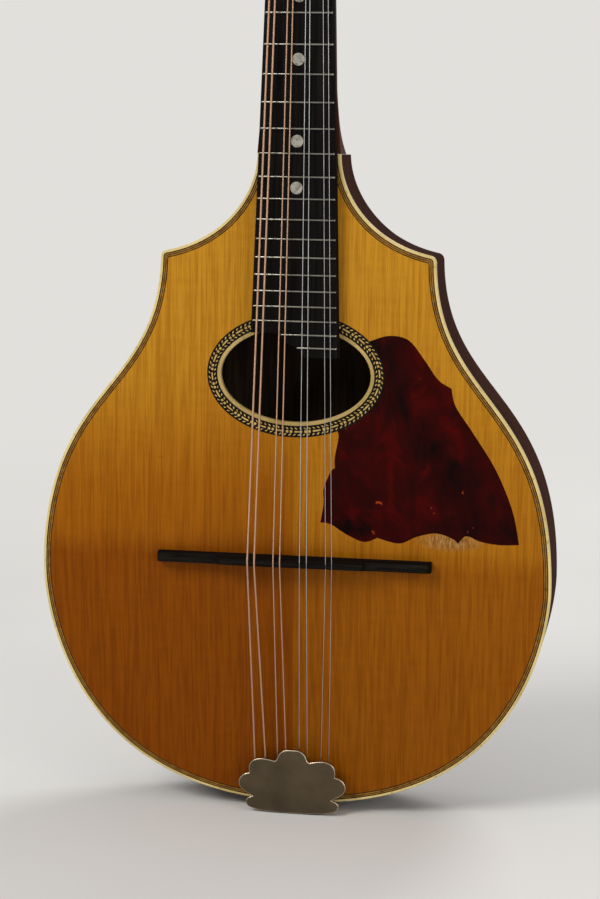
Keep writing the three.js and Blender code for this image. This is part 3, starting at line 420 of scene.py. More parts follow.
def outline_runs():
    neck_x, corner_x, widest_x = NECK_END_WIDTH / 2, CORNER_SPAN / 2, BODY_WIDTH / 2
    drop = CORNER_Z - WIDEST_Z
    fall = WIDEST_Z - TAIL_Z
    corner = flat(corner_x, CORNER_Z)
    widest = flat(widest_x, WIDEST_Z)
    rise = JOINT_Z - CORNER_Z
    by_neck, across, up = SHOULDER_HANDLE_SHARES
    shoulder = bezier(
        flat(neck_x, JOINT_Z),
        flat(neck_x, JOINT_Z - rise * by_neck),
        flat(corner_x - (corner_x - neck_x) * across, CORNER_Z + rise * up),
        corner,
        SHOULDER_STEPS,
    )
    side = bezier(
        corner,
        flat(corner_x, CORNER_Z - drop * SIDE_HANDLE_SHARES[0]),
        flat(widest_x, WIDEST_Z + drop * SIDE_HANDLE_SHARES[1]),
        widest,
        SIDE_STEPS,
    )
    lower = bezier(
        widest,
        flat(widest_x, WIDEST_Z - fall * TAIL_HANDLE_SHARES[0]),
        flat(widest_x * TAIL_HANDLE_SHARES[1], TAIL_Z),
        flat(0, TAIL_Z),
        SIDE_STEPS,
    )
    return shoulder, side + lower[1:]


def inset_run(points, inset):
    drawn = []
    for i, p in enumerate(points):
        way = (points[min(i + 1, len(points) - 1)] - points[max(i - 1, 0)]).normalized()
        drawn.append(flat(p.x + way.y * inset, p.y - way.x * inset))
    return drawn


def crossing(first, second):
    """Where two runs cross: the place in each and the point."""
    slack = 1e-6
    for i in range(len(first) - 2, -1, -1):
        for j in range(len(second) - 1):
            along = first[i + 1] - first[i]
            across = second[j + 1] - second[j]
            between = second[j] - first[i]
            scale = along.cross(across)
            if not scale:
                continue
            s, t = between.cross(across) / scale, between.cross(along) / scale
            if -slack <= s <= 1 + slack and -slack <= t <= 1 + slack:
                return i, j, first[i] + along * s
    return len(first) - 1, 0, second[0]


def body_half(inset=0.0):
    """Treble half of the outline from the neck to the tail, with as many points at every inset."""
    shoulder, flank = (inset_run(run, inset) for run in outline_runs())
    i, j, corner = crossing(shoulder, flank)
    bend = max(CORNER_ROUND - inset, LEAST_ROUND)
    before = [p for p in shoulder[: i + 1] if (p - corner).length > bend]
    after = [p for p in flank[j + 1:] if (p - corner).length > bend]
    start = corner + (before[-1] - corner).normalized() * bend
    end = corner + (after[0] - corner).normalized() * bend
    turn = bezier(start, start.lerp(corner, 2 / 3), end.lerp(corner, 2 / 3), end, CORNER_STEPS)
    tail = resample([end] + after, 2 * SIDE_STEPS)
    tail[-1].x = 0
    return resample(before + [start], SHOULDER_STEPS) + turn[1:-1] + tail


def body_loop(inset=0.0):
    half = body_half(inset)
    return half + mirrored(half)[1:]


def cant(points):
    """Leans what lies below the crease back with the lower top."""
    slope = math.tan(CANT)
    return [Vector((p.x, p.y + slope * max(0, CREASE_Z - p.z), p.z)) for p in points]


def back_y(x, z):
    """Outer face of the back: flat wings with a cylinder between them."""
    half = CYLINDER_WIDTH / 2
    radius = (half**2 + CYLINDER_RISE**2) / (2 * CYLINDER_RISE)
    arch = math.sqrt(radius**2 - x**2) - (radius - CYLINDER_RISE) if abs(x) < half else 0
    fading = max(0, 1 - (JOINT_Z - z) / CYLINDER_FADE_LENGTH) * (1 - CYLINDER_NECK_SHARE)
    return BACK_DEPTH + (JOINT_Z - z) * BACK_SLOPE + arch * (1 - fading)


# Meshes


class Shape:
    """Points and faces in one frame, each face with the number of its material."""

    def __init__(self):
        self.points = []
        self.faces = []
        self.slots = []

    def add(self, points, faces, slot=0):
        first = len(self.points)
        self.points += [Vector(p) for p in points]
        self.faces += [[first + k for k in face] for face in faces]
        self.slots += [slot] * len(faces)
        return self

    def loft(self, rings, slot=0, caps=True, ring_slots=None):
        """A skin over rings of as many points each. ring_slots gives a material to each side of a ring."""
        count = len(rings[0])
        for k in range(count):
            faces = []
            for r in range(len(rings) - 1):
                a, b = r * count + k, r * count + (k + 1) % count
                faces.append([a, b, b + count, a + count])
            self.faces += [[len(self.points) + v for v in face] for face in faces]
            self.slots += [ring_slots[k] if ring_slots else slot] * len(faces)
        first, last = len(self.points), len(self.points) + (len(rings) - 1) * count
        self.points += [Vector(p) for ring in rings for p in ring]
        if caps:
            self.faces += [list(range(first + count - 1, first - 1, -1)), list(range(last, last + count))]
            self.slots += [slot, slot]
        return self

    def mesh(self):
        """A mesh with points that meet made one and its faces turned outwards."""
        mesh = bpy.data.meshes.new("shape")
        mesh.from_pydata(self.points, [], self.faces)
        mesh.polygons.foreach_set("material_index", self.slots)
        work = bmesh.new()
        work.from_mesh(mesh)
        bmesh.ops.remove_doubles(work, verts=work.verts, dist=1e-5)
        bmesh.ops.recalc_face_normals(work, faces=work.faces)
        if work.calc_volume(signed=True) < 0:
            bmesh.ops.reverse_faces(work, faces=work.faces)
        work.to_mesh(mesh)
        work.free()
        return mesh


def stacked(loops, depths):
    """A solid in the body's frame from loops in X and Z, each at its own depth along Y."""
    return Shape().loft([[(p.x, depth, p.y) for p in loop] for loop, depth in zip(loops, depths)])


def slab(loop, front, back):
    return stacked([loop, loop], [front, back])


def rounded_slab(loop, front, back, front_round, back_round, steps=4):
    """A plate whose front and back edges are rounded."""
    loops, depths = [], []
    for edge, radius, way in ((front, front_round, 1), (back, back_round, -1)):
        arc = []
        for i in range(steps + 1):
            angle = math.pi / 2 * i / steps
            arc.append((radius * (1 - math.sin(angle)), edge + way * radius * (1 - math.cos(angle))))
        if way < 0:
            arc.reverse()
        for inset, depth in arc if radius > 0 else [(0, edge)]:
            loops.append(inset_loop(loop, inset) if inset else loop)
            depths.append(depth)
    return stacked(loops, depths)


def upright(shape):
    """Turns a shape drawn in X and Z with depth along Y into one drawn in X and Y with depth along -Z."""
    shape.points = [Vector((p.x, p.z, -p.y)) for p in shape.points]
    return shape


def bar(profile, x0, x1):
    """A profile in Y and Z run along X."""
    return Shape().loft([[(x, y, z) for y, z in profile] for x in (x0, x1)])


def turned(profile, count=32, axis="Z", caps=True):
    """A turned piece from (radius, height) pairs."""
    rings = []
    for radius, height in profile:
        ring = [(radius * c, radius * s) for c, s in around(count)]
        rings.append([(a, b, height) if axis == "Z" else (height, a, b) for a, b in ring])
    return Shape().loft(rings, caps=caps)


def sweep(path, radius, count=12):
    """A round tube along points, without twist."""
    path = path[:1] + [here for before, here in zip(path, path[1:]) if (here - before).length > 1e-4]
    rings = []
    way = (path[1] - path[0]).normalized()
    side = way.orthogonal().normalized()
    for i, here in enumerate(path):
        ahead = (path[min(i + 1, len(path) - 1)] - path[max(i - 1, 0)]).normalized()
        side = (way.rotation_difference(ahead) @ side).normalized()
        way = ahead
        up = way.cross(side)
        rings.append([here + (side * c + up * s) * radius for c, s in around(count)])
    return Shape().loft(rings)


def applied(mesh, kind, **settings):
    """The mesh with one modifier applied."""
    holder = bpy.data.objects.new("holder", mesh)
    bpy.context.scene.collection.objects.link(holder)
    modifier = holder.modifiers.new("change", kind)
    for name, value in settings.items():
        setattr(modifier, name, value)
    bpy.context.view_layer.update()
    changed = holder.evaluated_get(bpy.context.evaluated_depsgraph_get())
    result = bpy.data.meshes.new_from_object(changed)
    bpy.data.objects.remove(holder)
    return result


def combined(mesh, shapes, operation):
    for shape in shapes:
        tool = bpy.data.objects.new("tool", shape.mesh())
        bpy.context.scene.collection.objects.link(tool)
        mesh = applied(mesh, "BOOLEAN", object=tool, operation=operation, solver="EXACT")
        bpy.data.objects.remove(tool)
    return mesh


def cut(mesh, *shapes):
    return combined(mesh, shapes, "DIFFERENCE")


def joined(mesh, *shapes):
    return combined(mesh, shapes, "UNION")


def bevelled(mesh, width, segments=2, angle=35):
    return applied(
        mesh, "BEVEL", width=width, segments=segments, limit_method="ANGLE", angle_limit=math.radians(angle),
    )


def sliced(mesh, places, axis):
    """Adds an edge wherever a plane across the axis crosses the mesh."""
    work = bmesh.new()
    work.from_mesh(mesh)
    normal = Vector((1, 0, 0)) if axis == "X" else Vector((0, 0, 1))
    for place in places:
        whole = work.verts[:] + work.edges[:] + work.faces[:]
        bmesh.ops.bisect_plane(work, geom=whole, plane_co=normal * place, plane_no=normal)
    work.to_mesh(mesh)
    work.free()
    return mesh


def moved(mesh, change):
    for vertex in mesh.vertices:
        vertex.co = change(vertex.co.copy())
    return mesh


def make_piece(name, mesh, place, materials, replaces=(), body="instrument", smooth=30):
    """Puts a mesh in its place as a piece that rides on a body and stands for CAD nodes."""
    if isinstance(mesh, Shape):
        mesh = mesh.mesh()
    mesh = mesh.copy()
    mesh.transform(place)
    if place.determinant() < 0:
        mesh.flip_normals()
    mesh.name = name
    for made in materials if isinstance(materials, (list, tuple)) else [materials]:
        mesh.materials.append(made)
    mesh.shade_smooth()
    mesh.set_sharp_from_angle(angle=math.radians(smooth))
    piece = bpy.data.objects.new(name, mesh)
    bpy.context.scene.collection.objects.link(piece)
    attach(piece, body)
    if replaces:
        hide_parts(*([replaces] if isinstance(replaces, str) else replaces))
    return piece


# Materials


def srgb(red, green, blue):
    """A colour as it looks, from 0 to 255, made linear."""
    def linear(value):
        share = value / 255
        return share / 12.92 if share <= 0.04045 else ((share + 0.055) / 1.055) ** 2.4
    return (linear(red), linear(green), linear(blue), 1)


class Nodes:
    """Short calls for the nodes of one tree."""

    def __init__(self, tree):
        self.nodes = tree.nodes
        self.links = tree.links

    def feed(self, socket, value):
        """Links a socket to another node's output, or sets its value."""
        if isinstance(value, bpy.types.NodeSocket):
            self.links.new(value, socket)
        else:
            socket.default_value = value

    def node(self, kind, settings=(), **inputs):
        node = self.nodes.new("ShaderNode" + kind)
        for name, value in dict(settings).items():
            setattr(node, name, value)
        for name, value in inputs.items():
            self.feed(node.inputs[name.replace("_", " ")], value)
        return node

    def maths(self, operation, a, b=0.5, c=0.5):
        node = self.node("Math", {"operation": operation})
        for socket, value in zip(node.inputs, (a, b, c)):
            self.feed(socket, value)
        return node.outputs[0]

    def between_shaders(self, share, first, second):
        node = self.node("MixShader", Fac=share)
        self.links.new(first.outputs[0], node.inputs[1])
        self.links.new(second.outputs[0], node.inputs[2])
        return node.outputs[0]

    def seen(self):
        """1 for what the camera sees, also in what shines or through what is clear."""
        path = self.node("LightPath").outputs
        mirrored_or_clear = self.maths("MAXIMUM", path["Is Glossy Ray"], path["Is Transmission Ray"])
        return self.maths("MAXIMUM", path["Is Camera Ray"], mirrored_or_clear)


class Finish(Nodes):
    """A material with one Principled shader. Colours in ramps are given from 0 to 255."""

    def __init__(self, name, roughness, metallic=0.0, coat=0.0, coat_roughness=0.1, specular=0.5):
        self.made = bpy.data.materials.new(name)
        self.made.use_nodes = True
        super().__init__(self.made.node_tree)
        self.shader = self.nodes["Principled BSDF"]
        sockets = ("Roughness", "Metallic", "Coat Weight", "Coat Roughness", "Specular IOR Level")
        for socket, value in zip(sockets, (roughness, metallic, coat, coat_roughness, specular)):
            self.shader.inputs[socket].default_value = value

    def place(self, scale=(1, 1, 1)):
        """Places on the object in metres, times scale."""
        spot = self.node("TexCoord").outputs["Object"]
        return self.node("Mapping", Vector=spot, Scale=scale).outputs["Vector"]

    def noise(self, scale, size=1.0, detail=4.0, rough=0.55, distortion=0.0):
        return self.node(
            "TexNoise", Vector=self.place(scale), Scale=size, Detail=detail, Roughness=rough,
            Distortion=distortion,
        ).outputs["Fac"]

    def spread(self, value, low, high, to_low=0.0, to_high=1.0):
        """Brings a value from one range to another, and keeps it there."""
        return self.node(
            "MapRange", Value=value, From_Min=low, From_Max=high, To_Min=to_low, To_Max=to_high,
        ).outputs["Result"]

    def ramp(self, value, stops):
        node = self.node("ValToRGB", Fac=value)
        points = node.color_ramp.elements
        while len(points) < len(stops):
            points.new(0.5)
        for point, (place, colour) in zip(points, stops):
            point.position = place
            point.color = srgb(*colour) if isinstance(colour, tuple) else (colour, colour, colour, 1)
        return node.outputs["Color"]

    def mix(self, share, a, b, blend="MIX"):
        node = self.node("Mix", {"data_type": "RGBA", "blend_type": blend})
        for index, value in ((0, share), (6, a), (7, b)):
            self.feed(node.inputs[index], value)
        return node.outputs[2]

    def times(self, a, b, share=1.0):
        return self.mix(share, a, b, "MULTIPLY")

    def colour(self, output):
        self.links.new(output, self.shader.inputs["Base Color"])

    def rough(self, output, low, high):
        self.links.new(self.spread(output, 0.0, 1.0, low, high), self.shader.inputs["Roughness"])

    def bump(self, height, distance):
        """Raises the surface by distance, in metres, where height is 1."""
        node = self.node("Bump", Height=height, Distance=distance, Strength=1.0)
        self.links.new(node.outputs["Normal"], self.shader.inputs["Normal"])


WHITE = (255, 255, 255)


def spruce_top():
    """Amber gloss over straight, very fine grain. Painted shade: darker towards the bottom, a step darker
    below the crease, and darker on the lower bass half. The halves meet on the centre.
    """
    finish = Finish("spruce_top", 0.42, coat=0.07, coat_roughness=0.3, specular=0.02)
    spot = finish.node("SeparateXYZ", Vector=finish.place((1, 1, 1)))
    height = finish.spread(spot.outputs["Z"], 0.0, 0.3)
    broad = finish.noise((9, 9, 7), detail=2, distortion=0.3)
    # painted shade: level falls towards the bottom, and the ramp steps darker at the crease where the lower
    # top leans back
    level = finish.maths("MULTIPLY_ADD", broad, 0.12, finish.maths("SUBTRACT", height, 0.06))
    wood = finish.ramp(level, [
        (0.03, (134, 74, 6)), (0.39, (143, 82, 7)), (0.43, (162, 102, 16)), (0.56, (170, 112, 22)),
        (0.68, (178, 122, 28)), (0.85, (185, 130, 33)),
    ])
    fine = finish.noise((1300, 300, 45), detail=2, distortion=0.1)
    rings = finish.noise((620, 200, 14), detail=3, distortion=0.15)
    silk = finish.noise((60, 60, 330), detail=2)
    grain = finish.maths("MULTIPLY_ADD", fine, 0.45, finish.maths("MULTIPLY", rings, 0.45))
    grain = finish.maths("MULTIPLY_ADD", silk, 0.1, grain)
    wood = finish.times(wood, finish.ramp(grain, [(0.4, (224, 214, 194)), (0.58, WHITE)]))
    dings = finish.ramp(finish.noise((420, 420, 130), detail=3, rough=0.65), [(0.7, 0.0), (0.78, 0.6)])
    wood = finish.mix(dings, wood, srgb(112, 70, 20))
    # painted shade: on the lower top the bass half is darker; the thin dark line on the centre is the real
    # joint of the halves
    side = finish.maths("MULTIPLY_ADD", spot.outputs["X"], 700, 0.5)
    bass = finish.ramp(side, [(0.4, (232, 214, 176)), (0.5, (206, 184, 150)), (0.62, WHITE)])
    lower = finish.spread(height, 0.68, 0.5)
    finish.colour(worn_finish(finish, finish.mix(lower, wood, finish.times(wood, bass)), spot))
    finish.rough(broad, 0.36, 0.48)
    finish.bump(fine, 0.00002)
    return finish.made


def worn_finish(finish, wood, spot):
    """A pale, fuzzy patch where the finish has rubbed off under the guard's lower edge."""
    squares = []
    for way, middle, half in zip("XZ", WEAR_PLACE, WEAR_HALF_SIZE):
        off = finish.maths("DIVIDE", finish.maths("SUBTRACT", spot.outputs[way], middle * MM), half * MM)
        squares.append(finish.maths("MULTIPLY", off, off))
    away = finish.maths("ADD", *squares)
    near = finish.spread(away, 0.1, 1.0, 1.0, 0.0)
    hairs = finish.noise((1300, 300, 330), detail=3, rough=0.7)
    fuzz = finish.ramp(hairs, [(0.42, (108, 70, 34)), (0.6, (168, 130, 80))])
    return finish.mix(finish.maths("MULTIPLY", near, 0.7), wood, fuzz)


def mahogany(name, coat, shade):
    finish = Finish(name, 0.5, coat=coat, coat_roughness=0.2, specular=0)
    pores = finish.noise((900, 900, 28), detail=5, rough=0.65)
    figure = finish.noise((40, 40, 6), detail=3, distortion=0.4)
    wood = finish.ramp(pores, [(0.36, (46, 20, 13)), (0.5, (72, 34, 22)), (0.66, (92, 46, 30))])
    tone = finish.ramp(figure, [(0.3, (200, 186, 178)), (0.7, WHITE)])
    # a shade below 255 darkens the whole colour: painted shade for a copy of the wood that stands in shadow
    wood = finish.times(wood, srgb(shade, shade, shade))
    finish.colour(finish.times(wood, tone, 0.9))
    finish.bump(pores, 0.00003)
    return finish.made


def bare_wood(name, dark, light, grain=500):
    finish = Finish(name, 0.75, specular=0.1)
    streaks = finish.noise((grain, grain, 12), detail=4)
    figure = finish.noise((30, 30, 8), detail=2)
    wood = finish.ramp(streaks, [(0.35, dark), (0.65, light)])
    tone = finish.ramp(figure, [(0.3, (215, 205, 195)), (0.7, WHITE)])
    finish.colour(finish.times(wood, tone, 0.8))
    finish.bump(streaks, 0.00005)
    return finish.made


def celluloid(name, shade, tint, roughness=0.3):
    """Aged cream plastic, a little uneven."""
    finish = Finish(name, roughness, coat=0.1, coat_roughness=0.15, specular=0.05)
    clouds = finish.noise((45, 45, 45), detail=4)
    specks = finish.noise((700, 700, 500), detail=2)
    cream = finish.ramp(clouds, [(0.32, shade), (0.68, tint)])
    dirt = finish.ramp(specks, [(0.25, (196, 176, 138)), (0.42, WHITE)])
    finish.colour(finish.times(cream, dirt, 0.7))
    finish.bump(clouds, 0.00003)
    return finish.made


def dyed_veneer(name, dark, light):
    """A thin dyed or plain strip of wood."""
    finish = Finish(name, 0.42, coat=0.1, coat_roughness=0.3, specular=0.03)
    fibres = finish.noise((420, 420, 420), detail=3)
    finish.colour(finish.ramp(fibres, [(0.35, dark), (0.65, light)]))
    return finish.made


def tortoise():
    """Dark red celluloid with black clouds and a few orange flecks."""
    finish = Finish("tortoise", 0.3, coat=0.06, coat_roughness=0.12, specular=0.02)
    clouds = finish.noise((34, 34, 26), detail=5, rough=0.6, distortion=0.9)
    depth = finish.noise((80, 80, 60), detail=3, distortion=0.5)
    red = finish.ramp(depth, [(0.3, (30, 1, 0)), (0.52, (44, 1, 0)), (0.72, (68, 1, 1))])
    body = finish.mix(finish.ramp(clouds, [(0.48, 0.0), (0.64, 1.0)]), red, srgb(12, 1, 1))
    flecks = finish.noise((210, 210, 170), detail=2, distortion=0.7)
    body = finish.mix(finish.ramp(flecks, [(0.71, 0.0), (0.78, 0.7)]), body, srgb(190, 78, 22))
    finish.colour(body)
    finish.bump(clouds, 0.00005)
    return finish.made


def ebony(name, dark=(9, 9, 9), light=(26, 23, 21), grain=(800, 800, 22)):
    finish = Finish(name, 0.5, coat=0.05, coat_roughness=0.35, specular=0)
    pores = finish.noise(grain, detail=4, rough=0.6)
    finish.colour(finish.ramp(pores, [(0.35, dark), (0.7, light)]))
    finish.rough(pores, 0.42, 0.6)
    finish.bump(pores, 0.00003)
    return finish.made


def metal(name, dark, light, roughness, brushed=(60, 60, 60), bump=0.000008):
    """Plated metal with soft blotches and fine wear."""
    finish = Finish(name, roughness, metallic=1.0)
    blotches = finish.noise((55, 55, 55), detail=5)
    marks = finish.noise(brushed, size=12, detail=3)
    finish.colour(finish.ramp(blotches, [(0.32, dark), (0.66, light)]))
    finish.rough(marks, roughness * 0.75, roughness * 1.35)
    if bump:
        finish.bump(marks, bump)
    return finish.made


def wound_wire():
    """Bronze wrap wire, seen as fine rings along the string."""
    finish = Finish("wound_wire", 0.5, metallic=1.0)
    spot = finish.node("SeparateXYZ", Vector=finish.place((1, 1, 1)))
    wraps = finish.maths("SINE", finish.maths("MULTIPLY", spot.outputs["Z"], 2 * math.pi / 0.0003))
    rings = finish.maths("MULTIPLY_ADD", wraps, 0.5, 0.5)
    finish.colour(finish.ramp(rings, [(0.0, (136, 102, 80)), (0.8, (206, 168, 140))]))
    finish.bump(rings, 0.00004)
    return finish.made


def pearl():
    finish = Finish("pearl", 0.25, coat=0.15, coat_roughness=0.05, specular=0.1)
    sheen = finish.noise((420, 420, 300), detail=3, distortion=1.2)
    finish.colour(finish.ramp(sheen, [
        (0.3, (104, 104, 96)), (0.46, (146, 142, 130)), (0.58, (176, 171, 158)),
        (0.72, (138, 142, 134)),
    ]))
    return finish.made


def ivoroid():
    """Cream celluloid with the faint parallel lines of ivory."""
    finish = Finish("ivoroid", 0.3, coat=0.15, coat_roughness=0.1, specular=0.2)
    lines = finish.noise((300, 40, 40), detail=2)
    finish.colour(finish.ramp(lines, [(0.36, (214, 194, 146)), (0.6, (240, 226, 188))]))
    return finish.made


SPRUCE = spruce_top()
MAHOGANY = mahogany("mahogany", 0.12, 255)
# the ribs' mahogany, darkened to 215 of 255: painted shade on the sides
RIB_MAHOGANY_PAINTED_SHADE = mahogany("rib_mahogany_painted_shade", 0.04, 215)
BARE_MAHOGANY = bare_wood("bare_mahogany", (48, 28, 18), (78, 49, 33))
INNER_WOOD = bare_wood("inner_wood", (30, 22, 14), (54, 40, 26))
BARE_SPRUCE = bare_wood("bare_spruce", (84, 61, 36), (118, 90, 56), grain=700)
BINDING = celluloid("cream_binding", (196, 172, 108), (222, 200, 138))
HOLE_CREAM = celluloid("hole_cream", (150, 126, 72), (188, 162, 104))
DARK_LINE = dyed_veneer("dark_line", (38, 24, 10), (58, 40, 18))
AMBER_LINE = dyed_veneer("amber_line", (118, 80, 28), (150, 108, 44))
ROSETTE_BLACK = dyed_veneer("rosette_black", (12, 9, 7), (26, 20, 14))
ROSETTE_CREAM = dyed_veneer("rosette_cream", (164, 134, 70), (198, 168, 98))
TORTOISE = tortoise()
BOARD_EBONY = ebony("board_ebony")
BRIDGE_EBONY = ebony("bridge_ebony", (10, 9, 8), (32, 28, 24), grain=(22, 800, 800))
# the cover's nickel is much darker than the base's: a painted dark reflection of dim surroundings
COVER_NICKEL_DARK_REFLECTION = metal("cover_nickel_dark_reflection", (82, 72, 58), (102, 91, 72), 0.34)
# a bright copy of the cover's nickel for the rolled edge: painted highlight
COVER_EDGE_PAINTED_HIGHLIGHT = metal("cover_edge_painted_highlight", (150, 136, 116), (190, 174, 150), 0.3)
NICKEL = metal("aged_nickel", (150, 142, 128), (196, 188, 172), 0.3)
# darker than the other nickel so each wire shows only a thin highlight: painted dark reflection
FRET_METAL_DARK_REFLECTION = metal("fret_metal", (112, 110, 100), (148, 145, 134), 0.2)
TUNER_STEEL = metal("tuner_steel", (160, 152, 138), (206, 198, 182), 0.26)
BRASS = metal("gear_brass", (150, 116, 60), (196, 160, 92), 0.3)
STEEL_WIRE = metal("steel_wire", (160, 160, 158), (184, 184, 184), 0.3, bump=0)
BRONZE_WIRE = wound_wire()
PEARL = pearl()
BONE = celluloid("bone", (214, 204, 176), (238, 230, 208), 0.4)
IVOROID = ivoroid()


# Body


def make_soundboard():
    outer = body_loop(BINDING_WIDTH + SEAM)
    face = body_loop(BINDING_WIDTH + PURFLING_WIDTH + 2 * SEAM)
    bed = INLAY_DEPTH + SEAM
    board = stacked([face, face, outer, outer], [0, bed, bed, TOP_THICKNESS]).mesh()
    past = TOP_THICKNESS
    bound = HOLE_BINDING_WIDTH + SEAM
    hole = slab(oval(HOLE_HALF_WIDTH + bound, HOLE_HALF_HEIGHT + bound), -past, 2 * past)
    rosette = slab(oval(ROSETTE_HALF_WIDTH + SEAM / 2, ROSETTE_HALF_HEIGHT + SEAM / 2), -past, bed)
    guard = slab(inset_loop(guard_loop(), -SEAM / 2), -past, bed)
    board = sliced(cut(board, hole, rosette, guard), [CREASE_Z], "Z")
    return moved(board, lambda p: cant([p])[0])


def guard_loop():
    start = (GUARD_LEFT, GUARD_BOTTOM)
    return runs_of([spread(run, GUARD_WIDTH, GUARD_HEIGHT, start) for run in GUARD_RUN_SHARES], 6)[1:]


def make_pickguard():
    edge = slab(oval(ROSETTE_HALF_WIDTH + SEAM, ROSETTE_HALF_HEIGHT + SEAM), -1, 2)
    guard = cut(slab(guard_loop(), 0, INLAY_DEPTH).mesh(), edge)
    return bevelled(guard, 0.12, 2, 60)


def band_sections(profile):
    """Sections of a band along the outline. The profile is a closed list of insets and depths."""
    insets = {inset: body_half(inset) for inset, _ in profile}
    sections = []
    for i in range(len(insets[profile[0][0]])):
        section = []
        for inset, depth in profile:
            p = insets[inset][i]
            section.append(Vector((p.x, depth(p.x, p.y) if callable(depth) else depth, p.y)))
        sections.append(section)
    return sections


def full_band(profile, ring_slots=None):
    treble = [cant(section) for section in band_sections(profile)]
    bass = [[(-p.x, p.y, p.z) for p in section] for section in reversed(treble[:-1])]
    return Shape().loft(treble + bass, ring_slots=ring_slots)


def make_binding():
    profile = [
        (BINDING_WIDTH, 0), (0.5, 0), (0.25, 0.07), (0.07, 0.25), (0, 0.5), (0, BINDING_DEPTH),
        (BINDING_WIDTH, BINDING_DEPTH),
    ]
    return full_band(profile)


def make_purfling():
    """Thin lines side by side: dark, amber, dark, amber, dark."""
    widths = [0.42, 0.5, 0.34, 0.5, 0.34]
    inset = BINDING_WIDTH + SEAM
    profile = [(inset, INLAY_DEPTH), (inset, 0)]
    slots = [0]
    for i, width in enumerate(widths):
        inset += width
        profile.append((inset, 0))
        slots.append(i % 2)
    profile.append((inset, INLAY_DEPTH))
    return full_band(profile, slots + [0, 0])


def make_rib(side):
    """Side wall from the binding to the back, one half of the body."""
    inner = RIB_THICKNESS
    slope = math.tan(CANT)

    def front(x, z):
        return BINDING_DEPTH + SEAM + slope * max(0, CREASE_Z - z)

    def back(x, z):
        return back_y(x, z) - BACK_THICKNESS - SEAM

    sections = band_sections([(0, front), (0, back), (inner, back), (inner, front)])
    for p in sections[-1]:
        p.x = SEAM / 2
    return Shape().loft([[(side * p.x, p.y, p.z) for p in section] for section in sections])


def make_back():
    """The back's plate with a rounded edge, bent over the cylinder."""
    edge = 1.1
    steps = 4
    loops, depths = [body_loop(0)], [-BACK_THICKNESS]
    for i in range(steps + 1):
        angle = math.pi / 2 * i / steps
        loops.append(body_loop(edge * (1 - math.cos(angle))))
        depths.append(-edge * (1 - math.sin(angle)))
    plate = stacked(loops, depths).mesh()
    half = CYLINDER_WIDTH / 2
    count = 40
    places = [-half + CYLINDER_WIDTH * i / count for i in range(count + 1)]
    plate = sliced(sliced(plate, places, "X"), [JOINT_Z - CYLINDER_FADE_LENGTH], "Z")
    for face in plate.polygons:
        if face.normal.y < -0.9:
            face.material_index = 1
    return moved(plate, lambda p: Vector((p.x, p.y + back_y(p.x, p.z), p.z)))


def even_angles(half_width, half_height, count):
    """Angles that share an oval's length evenly."""
    fine = 720
    loop = oval(half_width, half_height, fine)
    reach = [0]
    for i in range(fine):
        reach.append(reach[-1] + (loop[(i + 1) % fine] - loop[i]).length)
    angles = []
    i = 0
    for k in range(count):
        goal = reach[-1] * k / count
        while reach[i + 1] < goal:
            i += 1
        share = (goal - reach[i]) / (reach[i + 1] - reach[i])
        angles.append(2 * math.pi * (i + share) / fine)
    return angles


# From the rim in: each row's share of the ring's width, its cells, dark or cream, and how many it slants
ROSETTE_GROUPS = 24
ROSETTE_STEPS = 24
ROSETTE_ROWS = [
    (0.15, "d", 0),
    (0.15, "ccdddd", -2),
    (0.09, "d", 0),
    (0.04, "dddddddddddddcccddcccddd", 0),
    (0.13, "ccccccccccdddcccddcccddd", 0),
    (0.04, "dddddddddddddcccddcccddd", 0),
    (0.1, "d", 0),
    (0.15, "ccdddd", 2),
    (0.15, "d", 0),
]


def make_rosette():
    """Rings of dark and cream tiles around the sound hole."""
    bound = HOLE_BINDING_WIDTH + SEAM
    inner = flat(HOLE_HALF_WIDTH + bound, HOLE_HALF_HEIGHT + bound)
    outer = flat(ROSETTE_HALF_WIDTH, ROSETTE_HALF_HEIGHT)
    middle = (inner + outer) / 2
    count = ROSETTE_GROUPS * ROSETTE_STEPS
    angles = even_angles(middle.x, middle.y, count)
    ring = Shape()

    def circuit(size, depth):
        ring.points += [
            Vector((size.x * math.cos(a), depth, HOLE_Z + size.y * math.sin(a))) for a in angles
        ]
        return len(ring.points) - count

    def row(far, near, cells, slant=0):
        for k in range(count):
            ahead = (k + 1) % count
            start, end = far + (k + slant) % count, far + (ahead + slant) % count
            ring.faces.append([start, end, near + ahead, near + k])
            ring.slots.append(1 if cells[k % len(cells)] == "c" else 0)

    share = 1
    rim = far = circuit(outer, 0)
    for width, cells, slant in ROSETTE_ROWS:
        share -= width
        near = circuit(inner.lerp(outer, max(0, share)), 0)
        row(far, near, cells, slant)
        far = near
    deep_rim, deep_inner = circuit(outer, INLAY_DEPTH), circuit(inner, INLAY_DEPTH)
    for a, b in ((deep_rim, rim), (deep_inner, deep_rim), (far, deep_inner)):
        row(a, b, "d")
    return ring


def make_hole_binding():
    """A ring whose front edges are eased."""
    width = HOLE_BINDING_WIDTH
    profile = [(0, TOP_THICKNESS), (0, 0.35), (0.1, 0.1), (0.35, 0), (width, 0), (width, TOP_THICKNESS)]
    wide, high = HOLE_HALF_WIDTH, HOLE_HALF_HEIGHT
    sections = []
    for c, s in around(160):
        sections.append([((wide + out) * c, depth, HOLE_Z + (high + out) * s) for out, depth in profile])
    return Shape().loft(sections + [sections[0]], caps=False)


